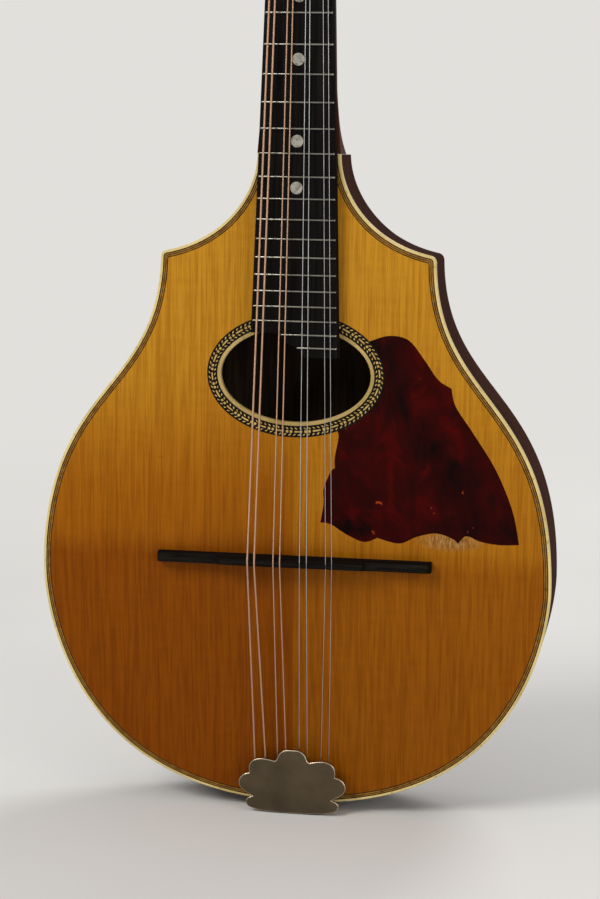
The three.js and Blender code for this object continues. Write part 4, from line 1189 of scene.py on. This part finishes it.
def dress_body():
    make_piece("top", make_soundboard(), BODY, SPRUCE, "soundboard")
    make_piece("guard", make_pickguard(), BODY, TORTOISE, "pickguard")
    make_piece("edge_binding", make_binding(), BODY, BINDING, "top_binding")
    make_piece("edge_lines", make_purfling(), BODY, [DARK_LINE, AMBER_LINE], "top_purfling")
    for side, word in SIDES:
        make_piece(f"rib_{word}", make_rib(side), BODY, RIB_MAHOGANY_PAINTED_SHADE, f"side_rib_{word}")
    back_woods = [MAHOGANY, INNER_WOOD]
    make_piece("back_plate", make_back(), BODY, back_woods, "back_panel", smooth=20)
    make_piece("rosette_tiles", make_rosette(), BODY, [ROSETTE_BLACK, ROSETTE_CREAM], "rosette")
    make_piece("hole_ring", make_hole_binding(), BODY, HOLE_CREAM, "soundhole_binding")


# Neck, head and fingerboard


def board_half_width(z):
    share = (z - BOARD_END_Z) / (NUT_Z - BOARD_END_Z)
    return lerp(BOARD_END_WIDTH, NUT_WIDTH, share) / 2


def neck_ring(half, depth, power, count=36):
    bend = 2 / power
    ring = [(half * signed_power(c, bend), depth * max(0, s) ** bend) for c, s in half_around(count)]
    ring[-1] = (-half, 0)
    return ring


HEAD_BLEND = 24  # over which the shaft squares up towards the head
HEAD_START = 5


def head_half_width(v):
    foot = spline(spread(HEAD_FOOT_SHARES, HEAD_WIDTH / 2, HEAD_LENGTH), 8)
    for a, b in zip(foot, foot[1:]):
        if a.y <= v <= b.y:
            return lerp(a.x, b.x, (v - a.y) / (b.y - a.y))
    return foot[-1].x


def head_point(u, v, n):
    """A point of the head's frame in the body's frame, still in millimetres."""
    return HEAD_SHIFT @ HEAD_LEAN @ Vector((u, v, n))


def make_neck():
    start = JOINT_Z + SEAM
    stations = [start + (HEAD_Z - start) * (i / 60) ** 1.3 for i in range(61)]
    rings = []
    for z in stations:
        heel = max(0, 1 - (z - JOINT_Z) / HEEL_LENGTH)
        shaft = lerp(NECK_DEPTH_AT_HEEL, NECK_DEPTH_AT_NUT, (z - JOINT_Z) / (NUT_Z - JOINT_Z))
        depth = shaft + (HEEL_DEPTH - shaft) * heel**HEEL_POWER
        half = board_half_width(z) + (NECK_END_WIDTH / 2 - board_half_width(JOINT_Z)) * heel
        square = max(0, (z - HEAD_Z + HEAD_BLEND) / HEAD_BLEND) ** 2
        power = lerp(lerp(SHAFT_FULLNESS, HEEL_FULLNESS, heel**HEEL_FLARE), HEAD_FULLNESS / 2, square)
        rings.append([(x, y, z) for x, y in neck_ring(half, depth, power)])
    for v in (2, 4, 6, 8, 10):
        half = head_half_width(v) if v <= HEAD_START + 1 else head_half_width(HEAD_START)
        power = lerp(HEAD_FULLNESS / 2, HEAD_FULLNESS, v / 10)
        ring = neck_ring(half - 0.05, HEAD_THICKNESS - 0.05 * v, power)
        rings.append([head_point(x, v, -y) for x, y in ring])
    return Shape().loft(rings)


def head_loop(start):
    half = []
    for shares in (HEAD_FOOT_SHARES, HEAD_CROWN_SHARES):
        half += [p for p in spline(spread(shares, HEAD_WIDTH / 2, HEAD_LENGTH), 10) if p.y > start]
    half.insert(0, flat(head_half_width(start), start))
    half[-1].x = 0
    return half + mirrored(half)[1:]


def post_places():
    """Where the posts stand on the head's face, one side after the other."""
    rows = [FIRST_POST_V + POST_PITCH * row for row in range(POST_ROWS)]
    return [(side * POST_SPAN / 2, v) for side, _ in SIDES for v in rows]


def post_holes(front, back):
    return [upright(slab(circle(x, v, POST_HOLE_RADIUS), front, back)) for x, v in post_places()]


def make_head():
    """The head's plate in its own frame, with its holes."""
    loop = head_loop(HEAD_START)
    plate = upright(rounded_slab(loop, 0, HEAD_THICKNESS, HEAD_FRONT_ROUND, HEAD_BACK_ROUND)).mesh()
    return cut(plate, *post_holes(-5, HEAD_THICKNESS + 5))


def make_neck_and_head():
    head = make_head()
    head.transform(HEAD_SHIFT @ HEAD_LEAN)
    return joined(head, make_neck())


def make_veneer():
    plate = upright(rounded_slab(head_loop(SEAM), -VENEER_FRONT, -SEAM, 0.35, 0)).mesh()
    return cut(plate, *post_holes(-5, 5))


def make_bushing():
    """The ring that lines a post's hole in the head's face."""
    bore, rim = POST_RADIUS + BUSHING_FIT, POST_RADIUS + BUSHING_WIDTH
    low, high = VENEER_FRONT, VENEER_FRONT + BUSHING_HEIGHT
    profile = [(bore, low), (rim, low), (rim, high - 0.5), (rim - 0.35, high - 0.1), (rim - 0.8, high),
               (bore + 0.3, high), (bore, high - 0.3), (bore, low)]
    return turned(profile, 40, caps=False).mesh()


def gathered(meshes):
    """Meshes put together as one."""
    work = bmesh.new()
    for mesh in meshes:
        work.from_mesh(mesh)
    made = bpy.data.meshes.new("gathered")
    work.to_mesh(made)
    work.free()
    return made


def copies(mesh, places):
    """Copies of a mesh at several places, as one mesh."""
    made = [mesh.copy() for _ in places]
    for copy, place in zip(made, places):
        copy.transform(place)
    return gathered(made)


def make_bushings():
    return copies(make_bushing(), [Matrix.Translation((x, v, 0)) for x, v in post_places()])


def board_loop():
    end_x = BOARD_END_WIDTH / 2
    end = spline(spread(BOARD_END_SHARES, end_x, BOARD_END_DROP, (0, BOARD_END_Z)), 6)
    high = BOARD_END_Z + BOARD_END_DROP
    top = NUT_Z - SEAM
    return [
        flat(-NUT_WIDTH / 2, top), flat(NUT_WIDTH / 2, top), flat(end_x, BOARD_END_Z), *end,
        flat(-board_half_width(high), high),
    ]


def make_board():
    """Ebony facing over a reddish base."""
    face = rounded_slab(board_loop(), BOARD_FRONT, BOARD_FRONT + BOARD_FACING, 0.35, 0, 3)
    base = slab(board_loop(), BOARD_FRONT + BOARD_FACING, -SEAM)
    board = Shape().add(face.points, face.faces, 0).add(base.points, base.faces, 1)
    keep = []
    for i, face_points in enumerate(board.faces):
        depths = [board.points[k].y for k in face_points]
        if max(depths) - min(depths) >= 1e-6 or abs(depths[0] - BOARD_FRONT - BOARD_FACING) >= 1e-6:
            keep.append(i)
    board.faces = [board.faces[i] for i in keep]
    board.slots = [board.slots[i] for i in keep]
    return board


def make_frets():
    """Crowned wires with bevelled ends."""
    wires = Shape()
    base = BOARD_FRONT - SEAM / 4
    end_lean = 0.7
    for fret in range(1, FRET_COUNT + 1):
        z = fret_z(fret)
        half = board_half_width(z) - FRET_SETBACK
        share = LAST_FRETS_START_SHARES.get(fret)
        x0 = -half if share is None else share * BOARD_END_WIDTH / 2
        crown = [(z + FRET_WIDTH / 2 * c, FRET_HEIGHT * s**0.8) for c, s in half_around(12)]
        sections = []
        for x, rise in ((x0, 0.35), (x0 + end_lean / 2, 0.82), (x0 + end_lean, 1), (half - end_lean, 1),
                        (half - end_lean / 2, 0.82), (half, 0.35)):
            sections.append([(x, base - up * rise, along) for along, up in crown])
        wires.loft(sections)
    return wires


def make_nut():
    top = BOARD_FRONT - NUT_RISE
    low, high = NUT_Z, HEAD_Z - SEAM
    profile = [
        (-SEAM, low), (top + 0.5, low), (top + 0.12, low + 0.25), (top, low + 0.7), (top + 0.1, low + 2),
        (top + 0.9, high - 0.6), (top + 1.5, high), (-SEAM, high),
    ]
    nut = bevelled(bar(profile, -NUT_WIDTH / 2, NUT_WIDTH / 2).mesh(), 0.4, 3, 50)
    grooves = []
    for string in range(len(STRING_NAMES)):
        radius = string_radius(string) + SEAM / 2
        x = NUT_HALF_SPREAD * NUT_SHARES[string]
        centre = NUT_NOTCH_Y - SEAM - string_radius(string)
        path = [Vector((x, centre, low - 2)), Vector((x, centre, high + 2))]
        grooves.append(sweep(path, radius, 16))
        left, right = x - radius, x + radius
        corners = ((left, centre), (right, centre), (right, top - 3), (left, top - 3))
        grooves.append(Shape().loft([[(a, y, z) for a, y in corners] for z in (low - 2, high + 2)]))
    return cut(nut, *grooves)


def dress_neck():
    make_piece("neck_wood", make_neck_and_head(), BODY, MAHOGANY, "neck", smooth=28)
    make_piece("head_veneer", make_veneer(), HEAD, BOARD_EBONY, "headstock_veneer")
    make_piece("post_bushings", make_bushings(), HEAD, NICKEL)
    make_piece("board", make_board(), BODY, [BOARD_EBONY, MAHOGANY], "fingerboard", smooth=25)
    make_piece("fret_wires", make_frets(), BODY, FRET_METAL_DARK_REFLECTION, "frets", smooth=40)
    for fret in DOT_FRETS:
        middle = (fret_z(fret) + fret_z(fret - 1)) / 2
        loop = circle(0, middle, DOT_DIAMETER / 2, 48)
        dot = rounded_slab(loop, BOARD_FRONT - DOT_PROUD, BOARD_FRONT + INLAY_DEPTH, 0.05, 0, 2)
        make_piece(f"pearl_dot_{fret}", dot, BODY, PEARL, f"position_dot_{fret}")
    make_piece("string_nut", make_nut(), BODY, BONE, "nut")


# Strings and bridge


def string_radius(string):
    return THICKEST_STRING * STRING_SHARES[string] / 2


def in_body(matrix, point):
    """A point of the tail's or head's frame in the body's frame."""
    return BODY.inverted() @ matrix @ Vector(point)


def make_bridge():
    size = (BRIDGE_LENGTH / 2, BRIDGE_HEIGHT)
    half = runs_of([spread(run, *size) for run in BRIDGE_RUN_SHARES], 6) + spread(BRIDGE_END_SHARES, *size)
    outline = [flat(BRIDGE_CENTRE_X + p.x, -p.y - SEAM) for p in half + mirrored(half)[:-1]]
    back = BRIDGE_FOOT - BRIDGE_BASE_WIDTH
    high = -SEAM - BRIDGE_HEIGHT
    blank = Shape().loft([[(p.x, p.y, z) for p in outline] for z in (back - 1, BRIDGE_FOOT + 1)])
    side = [
        (1, BRIDGE_FOOT), (high - 1, BRIDGE_FOOT), (high - 1, BRIDGE_FOOT - BRIDGE_TOP_WIDTH),
        (high, BRIDGE_FOOT - BRIDGE_TOP_WIDTH), (-SEAM - BRIDGE_EDGE_HEIGHT, back), (1, back),
    ]
    bridge = combined(blank.mesh(), [bar(side, -BRIDGE_LENGTH, BRIDGE_LENGTH)], "INTERSECT")
    bridge = bevelled(bridge, 0.35, 3, 40)
    notches = []
    for string in range(len(STRING_NAMES)):
        radius = string_radius(string) + SEAM / 2
        x = SADDLE_HALF_SPREAD * SADDLE_SHARES[string]
        y = high + NOTCH_DEPTH - SEAM - string_radius(string)
        notches.append(sweep([Vector((x, y, back)), Vector((x, y, BRIDGE_FOOT + 2))], radius, 16))
    return cut(bridge, *notches)


def rounded_path(corners, bend, steps=5):
    """A path through corners, each rounded over a length of bend."""
    path = [corners[0]]
    for before, here, after in zip(corners, corners[1:], corners[2:]):
        start = here + (before - here).normalized() * min(bend, (before - here).length / 2)
        end = here + (after - here).normalized() * min(bend, (after - here).length / 2)
        for i in range(steps + 1):
            t = i / steps
            path.append(start.lerp(here, t).lerp(here.lerp(end, t), t))
    path.append(corners[-1])
    return path


def string_path(string):
    radius = string_radius(string)
    x = TAIL_HALF_SPREAD * TAIL_SHARES[string]
    saddle_x = SADDLE_HALF_SPREAD * SADDLE_SHARES[string]
    nut_x = NUT_HALF_SPREAD * NUT_SHARES[string]
    crest_y = -SEAM - BRIDGE_HEIGHT + NOTCH_DEPTH - SEAM - radius
    crest_z = BRIDGE_FOOT - BRIDGE_TOP_WIDTH
    nut_y = NUT_NOTCH_Y - SEAM - radius
    side = -1 if string < WOUND_STRINGS else 1
    row = STRING_POST_ROWS[string]
    turn_radius = POST_RADIUS + RUNNING_FIT + radius
    rise = 2 * radius + WINDING_GAP
    steps = 32
    winding = []
    for i in range(int(WINDING_COUNT * steps) + 1):
        angle = 2 * math.pi * i / steps
        winding.append(in_body(HEAD, (
            side * POST_SPAN / 2 - side * turn_radius * math.cos(angle),
            FIRST_POST_V + POST_PITCH * row + turn_radius * math.sin(angle),
            VENEER_FRONT + WINDING_HEIGHT - rise * i / steps,
        )))
    corners = [
        in_body(TAIL, (x, -HOOK_STRING_HEIGHT, HOOK_FRONT + RUNNING_FIT + radius)),
        in_body(TAIL, (saddle_x, crest_y, crest_z)),
        in_body(TAIL, (saddle_x, crest_y, BRIDGE_FOOT)),
        Vector((nut_x, nut_y, NUT_Z)),
        Vector((nut_x, nut_y, HEAD_Z - SEAM)),
        winding[0],
    ]
    path = rounded_path(corners, 1.2)
    return path[:-1] + winding


def make_string(string):
    """A string with the loop that hooks on the tailpiece."""
    radius = string_radius(string)
    wire = sweep(string_path(string), radius, 10)
    x = TAIL_HALF_SPREAD * TAIL_SHARES[string] * (TAIL_PLATE_WIDTH - HOOK_WIDTH) / 2 / TAIL_HALF_SPREAD
    front = HOOK_FRONT + LOOP_REACH
    far = HOOK_FRONT - HOOK_THICKNESS
    wide = HOOK_WIDTH / 2 + 0.35 + min(radius, 0.3)
    loop_wire = min(radius, LOOP_WIRE)
    loop = [(x + wide * c, far - 0.3 - loop_wire - wide * 0.4 * s) for c, s in half_around(24)]
    points = [(x, front)] + loop + [(x, front)]
    path = [in_body(TAIL, (a, -HOOK_STRING_HEIGHT, b)) for a, b in points]
    wire_loop = sweep(rounded_path(path, 0.6, 3), loop_wire, 8)
    return wire.add(wire_loop.points, wire_loop.faces)


def dress_strings():
    make_piece("bridge_wood", make_bridge(), TAIL, BRIDGE_EBONY, "bridge")
    for string, word in enumerate(STRING_NAMES):
        made = (BRONZE_WIRE, "bronze_wire") if string < WOUND_STRINGS else (STEEL_WIRE, "steel_wire")
        make_piece(f"wire_{word}", make_string(string), BODY, made[0], f"string_{word}", smooth=60)


# Tailpiece


def cover_half():
    """Right half of the sheet's outline from the middle lobe to the middle of the tail edge."""
    size = (COVER_HALF_WIDTH, COVER_BACK - COVER_FRONT)
    return runs_of([spread(run, *size, (0, COVER_FRONT)) for run in COVER_RUN_SHARES], 8)


def make_cover():
    """A stamped sheet with its edge rolled down, a lip at the tail and two flanges."""
    roof = -COVER_HEIGHT
    wall = COVER_WALL
    half = cover_half()
    loop = [p + flat(COVER_CENTRE_X, 0) for p in half + mirrored(half)[1:-1]]
    low = COVER_ROLL
    steps = [(wall, wall), (wall, low), (0, low), (0, 0.6), (0.16, 0.22), (0.42, 0.05), (0.8, 0)]
    loops = [inset_loop(loop, inset) for inset, _ in steps]
    sheet = stacked(loops, [roof + deep for _, deep in steps]).mesh()
    edge = [p for p in half if p.x <= COVER_LIP_HALF_WIDTH and p.y < lerp(COVER_FRONT, COVER_BACK, 0.9)]
    lip = [p + flat(COVER_CENTRE_X, 0.02) for p in edge + mirrored(edge)[1:]]
    lip += [p + flat(0, wall) for p in reversed(lip)]
    walls = [(lip, -COVER_LIP_SEAT)]
    flange_x = TAIL_PLATE_WIDTH / 2 + RUNNING_FIT
    for x0 in (-flange_x - wall, flange_x):
        x1 = x0 + wall
        z0, z1 = COVER_FLANGE_BACK, COVER_FLANGE_FRONT
        walls.append(([flat(x0, z0), flat(x1, z0), flat(x1, z1), flat(x0, z1)], -COVER_FLANGE_SEAT))
    cover = joined(sheet, *(rounded_slab(outline, roof + 0.3, foot, 0, 0.25, 2) for outline, foot in walls))
    # the rolled edge's sloping faces take the bright second material: a painted highlight
    for face in cover.polygons:
        if face.center.y < roof + COVER_ROLL and 0.35 < abs(face.normal.y) < 0.93:
            face.material_index = 1
    return cover


def screw(radius, height, slot_width=0.5):
    """A round head with its slot, standing on z = 0."""
    profile = [(radius, 0), (radius, 0.15)]
    for i in range(1, 7):
        angle = math.pi / 2 * i / 6
        profile.append((max(0.02, radius * math.cos(angle)), 0.15 + (height - 0.15) * math.sin(angle)))
    head = turned(profile, 28).mesh()
    deep = height * 0.5
    low, high = -slot_width / 2, slot_width / 2
    corners = ((-3, low), (3, low), (3, high), (-3, high))
    groove = Shape().loft([[(x, y, z) for x, y in corners] for z in (deep, height + 1)])
    return cut(head, groove)


def dress_tailpiece():
    make_piece(
        "cover_plate", make_cover(), TAIL, [COVER_NICKEL_DARK_REFLECTION, COVER_EDGE_PAINTED_HIGHLIGHT], "tailpiece_cover",
        "tailpiece_cover",
    )
    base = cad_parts["tailpiece_base"]
    base.data.materials.clear()
    base.data.materials.append(NICKEL)
    edge = base.modifiers.new("edge", "BEVEL")
    edge.width = 0.25 * MM
    edge.segments = 2
    edge.limit_method = "ANGLE"
    low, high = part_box("tailpiece_base")
    down = Matrix.Rotation(math.pi, 4, "X") @ Matrix.Scale(MM, 4)
    places = []
    for turn, (x, share) in enumerate(END_SCREWS):
        spot = Vector((x, lerp(0, high.y, share), low.z))
        places.append(Matrix.Translation(spot) @ down @ Matrix.Rotation(0.5 + turn, 4, "Z"))
    screws = copies(screw(1.9, 1.1), places)
    make_piece("tail_screws", screws, Matrix.Identity(4), NICKEL)


# Tuners


def make_tuner_plate():
    half = PLATE_WIDTH / 2
    end = -POST_PITCH * (POST_ROWS - 1) - PLATE_MARGIN
    corner = 3.2
    loop = []
    for x, y, start in ((half, PLATE_MARGIN, 0), (-half, PLATE_MARGIN, 1), (-half, end, 2), (half, end, 3)):
        cx, cy = x - math.copysign(corner, x), y - math.copysign(corner, y)
        for k in range(9):
            angle = math.pi / 2 * (start + k / 8)
            loop.append(flat(cx + corner * math.cos(angle), cy + corner * math.sin(angle)))
    plate = upright(rounded_slab(loop, 0, PLATE_THICKNESS, 0.3, 0, 3)).mesh()
    holes, ears = [], []
    for row in range(POST_ROWS):
        y = -POST_PITCH * row
        holes.append(upright(slab(circle(0, y, POST_HOLE_RADIUS), -3, 3)))
        for side in (-1, 1):
            inner, outer = side * EAR_OFFSET, side * (EAR_OFFSET + EAR_THICKNESS)
            middle = y + WORM_Y
            wide = EAR_HALF_WIDTH
            profile = [(middle - wide, -PLATE_THICKNESS / 2), (middle + wide, -PLATE_THICKNESS / 2)]
            profile += [(middle + wide * c, WORM_HEIGHT + wide * s) for c, s in half_around(12)]
            ears.append(bar(profile, min(inner, outer), max(inner, outer)))
    plate = joined(cut(plate, *holes), *ears)
    bores = []
    for row in range(POST_ROWS):
        past = EAR_OFFSET + EAR_THICKNESS + 1
        bore = turned([(WORM_CORE_RADIUS + EAR_FIT, -past), (WORM_CORE_RADIUS + EAR_FIT, past)], 24, "X")
        bore.points = [p + Vector((0, WORM_Y - POST_PITCH * row, WORM_HEIGHT)) for p in bore.points]
        bores.append(bore)
    return bevelled(cut(plate, *bores), 0.12, 1, 50)


def make_gear():
    root, tip = GEAR_PITCH_RADIUS - TOOTH_DEPTH, GEAR_PITCH_RADIUS + TOOTH_REACH
    pitch = 2 * math.pi / GEAR_TEETH
    loop = []
    for tooth in range(GEAR_TEETH):
        middle = math.pi / 2 + pitch * (tooth + 0.5)
        for share, radius in ((-0.25, root), (-0.1, tip), (0.1, tip), (0.25, root)):
            angle = middle + pitch * share
            loop.append((radius * math.cos(angle), radius * math.sin(angle)))
    lead = WORM_PITCH / (2 * math.pi * WORM_PITCH_RADIUS) / GEAR_PITCH_RADIUS
    rings = []
    for k in range(5):
        z = GEAR_FACE_WIDTH * (k / 4 - 0.5)
        turn = lead * z
        c, s = math.cos(turn), math.sin(turn)
        rings.append([(x * c - y * s, x * s + y * c, WORM_HEIGHT + z) for x, y in loop])
    return Shape().loft(rings)


def make_post():
    """The string post, its gear and the screw that holds the gear."""
    front = PLATE_BACK - VENEER_FRONT - POST_STICK_OUT
    low = WORM_HEIGHT - GEAR_FACE_WIDTH / 2
    radius = POST_RADIUS
    profile = [
        (0.02, front), (radius - 0.9, front + 0.05), (radius - 0.3, front + 0.3), (radius, front + 0.8),
        (radius, front + 2.2), (radius - 0.35, front + 2.6), (radius - 0.35, front + 5.4),
        (radius, front + 5.9), (radius, low + SEAM), (0.02, low + SEAM),
    ]
    post = turned(profile, 36).mesh()
    across = [Vector((x, 0, front + 4)) for x in (-2 * radius, 2 * radius)]
    post = cut(post, sweep(across, POST_STRING_HOLE_RADIUS, 16))
    gear = bevelled(make_gear().mesh(), 0.1, 1, 60)
    cap = screw(2.1, 1.0, 0.6)
    cap.transform(Matrix.Translation((0, 0, WORM_HEIGHT + GEAR_FACE_WIDTH / 2 - 0.05)))
    return several([(post, 0), (gear, 1), (cap, 0)])


def several(parts):
    """Meshes gathered into one, each with its own material number."""
    for mesh, slot in parts:
        mesh.polygons.foreach_set("material_index", [slot] * len(mesh.polygons))
    return gathered([mesh for mesh, _ in parts])


def make_worm():
    core = WORM_CORE_RADIUS
    inner = -(EAR_OFFSET + EAR_THICKNESS + RUNNING_FIT)
    collar_start = KNOB_START - KNOB_COLLAR_LENGTH
    shaft = turned([
        (0.02, inner), (core - 0.15, inner), (core, inner + 0.15), (core, collar_start),
        (KNOB_COLLAR_RADIUS - 0.3, collar_start), (KNOB_COLLAR_RADIUS, collar_start + 0.3),
        (KNOB_COLLAR_RADIUS, KNOB_START + 1.5), (0.02, KNOB_START + 1.5),
    ], 24, "X")
    shaft.points = [p + Vector((0, WORM_Y, WORM_HEIGHT)) for p in shaft.points]
    rings = []
    steps = 24
    tip, root = 0.125 * WORM_PITCH, 0.26 * WORM_PITCH
    low, high = core - SEAM, WORM_PITCH_RADIUS + TOOTH_REACH
    for i in range(WORM_TURNS * steps + 1):
        turn = i / steps - WORM_TURNS / 2
        angle = math.pi + 2 * math.pi * turn
        c, s = math.cos(angle), math.sin(angle)
        rings.append([
            (WORM_PITCH * turn + along, WORM_Y + radius * c, WORM_HEIGHT + radius * s)
            for along, radius in ((-root, low), (-tip, high), (tip, high), (root, low))
        ])
    steel = joined(shaft.mesh(), Shape().loft(rings))
    return several([(steel, 0), (make_button().mesh(), 1)])


def make_button():
    """An oval button, thicker round its rim than at its waist."""
    along = 20
    rings = []
    for i in range(along + 1):
        t = -math.pi / 2 + math.pi * i / along
        reach = max(0.02, math.cos(t)) ** KNOB_END_POWER
        x = KNOB_START + KNOB_LENGTH / 2 * (1 + signed_power(math.sin(t), KNOB_WAIST_POWER))
        ring = []
        for c, s in around(48):
            wide = signed_power(c, KNOB_ROUND_POWER) * KNOB_WIDTH / 2 * reach
            thick = signed_power(s, KNOB_ROUND_POWER) * KNOB_THICKNESS / 2 * reach
            ring.append((x, WORM_Y + wide, WORM_HEIGHT + thick))
        rings.append(ring)
    return Shape().loft(rings)


def dress_tuners():
    plate, post, worm = make_tuner_plate(), make_post(), make_worm()
    plate_screw = screw(1.5, 0.9, 0.45)
    spots = [PLATE_MARGIN - 2.6, *(-POST_PITCH * (row + 0.42) for row in range(POST_ROWS - 1)),
             -POST_PITCH * (POST_ROWS - 1) - PLATE_MARGIN + 2.6]
    for side, word in SIDES:
        place = tuner_row(side)
        make_piece(f"strip_{word}", plate, place, NICKEL, f"tuner_plate_{word}")
        places = []
        for i, y in enumerate(spots):
            places.append(Matrix.Translation((0, y, 0)) @ Matrix.Rotation(0.7 * i, 4, "Z"))
        make_piece(f"strip_screws_{word}", copies(plate_screw, places), place, NICKEL)
        for row in range(POST_ROWS):
            name = f"{word}_{row + 1}"
            place = tuner_row(side, row)
            make_piece(
                f"geared_post_{name}", post, place, [TUNER_STEEL, BRASS], f"tuner_post_{name}",
                f"post_{name}",
            )
            make_piece(
                f"button_{name}", worm, place, [TUNER_STEEL, IVOROID], f"tuner_knob_{name}",
                f"knob_{name}", smooth=35,
            )


# What stays as the solids have it


def dress_inside():
    for node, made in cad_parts.items():
        if "block" in node or "lining" in node:
            finish = BARE_MAHOGANY
        elif "brace" in node:
            finish = BARE_SPRUCE
        else:
            continue
        made.data.materials.clear()
        made.data.materials.append(finish)


# Camera, light and floor

CAMERA_AZIMUTH = math.radians(9.62)
CAMERA_ELEVATION = math.radians(7.47)
CAMERA_ROLL = math.radians(0.92)
CAMERA_DISTANCE = 1023
CAMERA_TARGET = (2.7, 0, 51.2)
FOCAL_PIXELS = 2237
IMAGE_HEIGHT = 899
SENSOR = 36


def make_camera():
    azimuth, level = CAMERA_AZIMUTH, math.cos(CAMERA_ELEVATION)
    back = Vector((math.sin(azimuth) * level, -math.cos(azimuth) * level, math.sin(CAMERA_ELEVATION)))
    right = (-back).cross(Vector((0, 0, 1))).normalized()
    up = right.cross(-back)
    c, s = math.cos(CAMERA_ROLL), math.sin(CAMERA_ROLL)
    across, above = right * c + up * s, up * c - right * s
    spot = BODY @ (back * CAMERA_DISTANCE + Vector(CAMERA_TARGET))
    turn = Matrix((across, above, back)).transposed().to_4x4()
    camera = bpy.data.objects.new("camera", bpy.data.cameras.new("camera"))
    camera.data.sensor_width = SENSOR
    camera.data.lens = SENSOR * FOCAL_PIXELS / IMAGE_HEIGHT
    camera.data.clip_start = 0.01
    camera.data.clip_end = 50
    camera.matrix_world = Matrix.Translation(spot) @ turn
    bpy.context.scene.collection.objects.link(camera)
    bpy.context.scene.camera = camera


def make_lamp(name, place, target, size, power):
    light = bpy.data.lights.new(name, "AREA")
    light.shape = "DISK"
    light.size = size
    light.energy = power
    lamp = bpy.data.objects.new(name, light)
    lamp.location = place
    lamp.rotation_mode = "QUATERNION"
    lamp.rotation_quaternion = (Vector(target) - Vector(place)).to_track_quat("-Z", "Y")
    bpy.context.scene.collection.objects.link(lamp)


BACKDROP = srgb(226, 224, 220)
SKY_LIGHT = 0.42
FLOOR_GAP = 0.0004
LAMPS = {
    "key": ((-1.1, -1.6, 1.5), (0, 0, 0.2), 1.0, 30),
    "fill": ((1.6, -1.4, 0.6), (0, 0, 0.2), 1.2, 12),
    "rim": ((0.6, 1.5, 1.4), (0, 0, 0.3), 1.0, 16),
}


def make_stage():
    """A pale floor and a pale surround, seen as they are by the camera and by what shines."""
    low = cad_bounds[0].z - FLOOR_GAP
    mesh = bpy.data.meshes.new("floor")
    reach = 6
    corners = [(-reach, -reach, low), (reach, -reach, low), (reach, reach, low), (-reach, reach, low)]
    mesh.from_pydata(corners, [], [(0, 1, 2, 3)])
    finish = Finish("floor", 0.8, specular=0.1)
    tone = finish.noise((3, 3, 3), detail=2)
    finish.colour(finish.ramp(tone, [(0.3, (222, 220, 216)), (0.7, (229, 227, 223))]))
    distance = finish.node("VectorMath", {"operation": "LENGTH"}, Vector=finish.place()).outputs["Value"]
    far = finish.node(
        "MapRange", {"interpolation_type": "SMOOTHSTEP"}, Value=distance, From_Min=0.3, From_Max=1.5,
    ).outputs["Result"]
    glow = finish.node("Emission", Color=BACKDROP, Strength=1.0)
    fade = finish.between_shaders(finish.maths("MULTIPLY", far, finish.seen()), finish.shader, glow)
    finish.links.new(fade, finish.nodes["Material Output"].inputs["Surface"])
    mesh.materials.append(finish.made)
    floor = bpy.data.objects.new("floor", mesh)
    bpy.context.scene.collection.objects.link(floor)
    world = bpy.data.worlds.new("world")
    bpy.context.scene.world = world
    world.use_nodes = True
    sky = Nodes(world.node_tree)
    sky.nodes.clear()
    drawn = sky.node("Background", Color=BACKDROP, Strength=1.0)
    light = sky.node("Background", Color=(1, 1, 1, 1), Strength=SKY_LIGHT)
    sky.node("OutputWorld", Surface=sky.between_shaders(sky.seen(), light, drawn))
    for name, lamp in LAMPS.items():
        make_lamp(name, *lamp)
    bpy.context.scene.view_settings.view_transform = "Standard"


make_camera()
make_stage()
dress_body()
dress_neck()
dress_strings()
dress_tailpiece()
dress_tuners()
dress_inside()
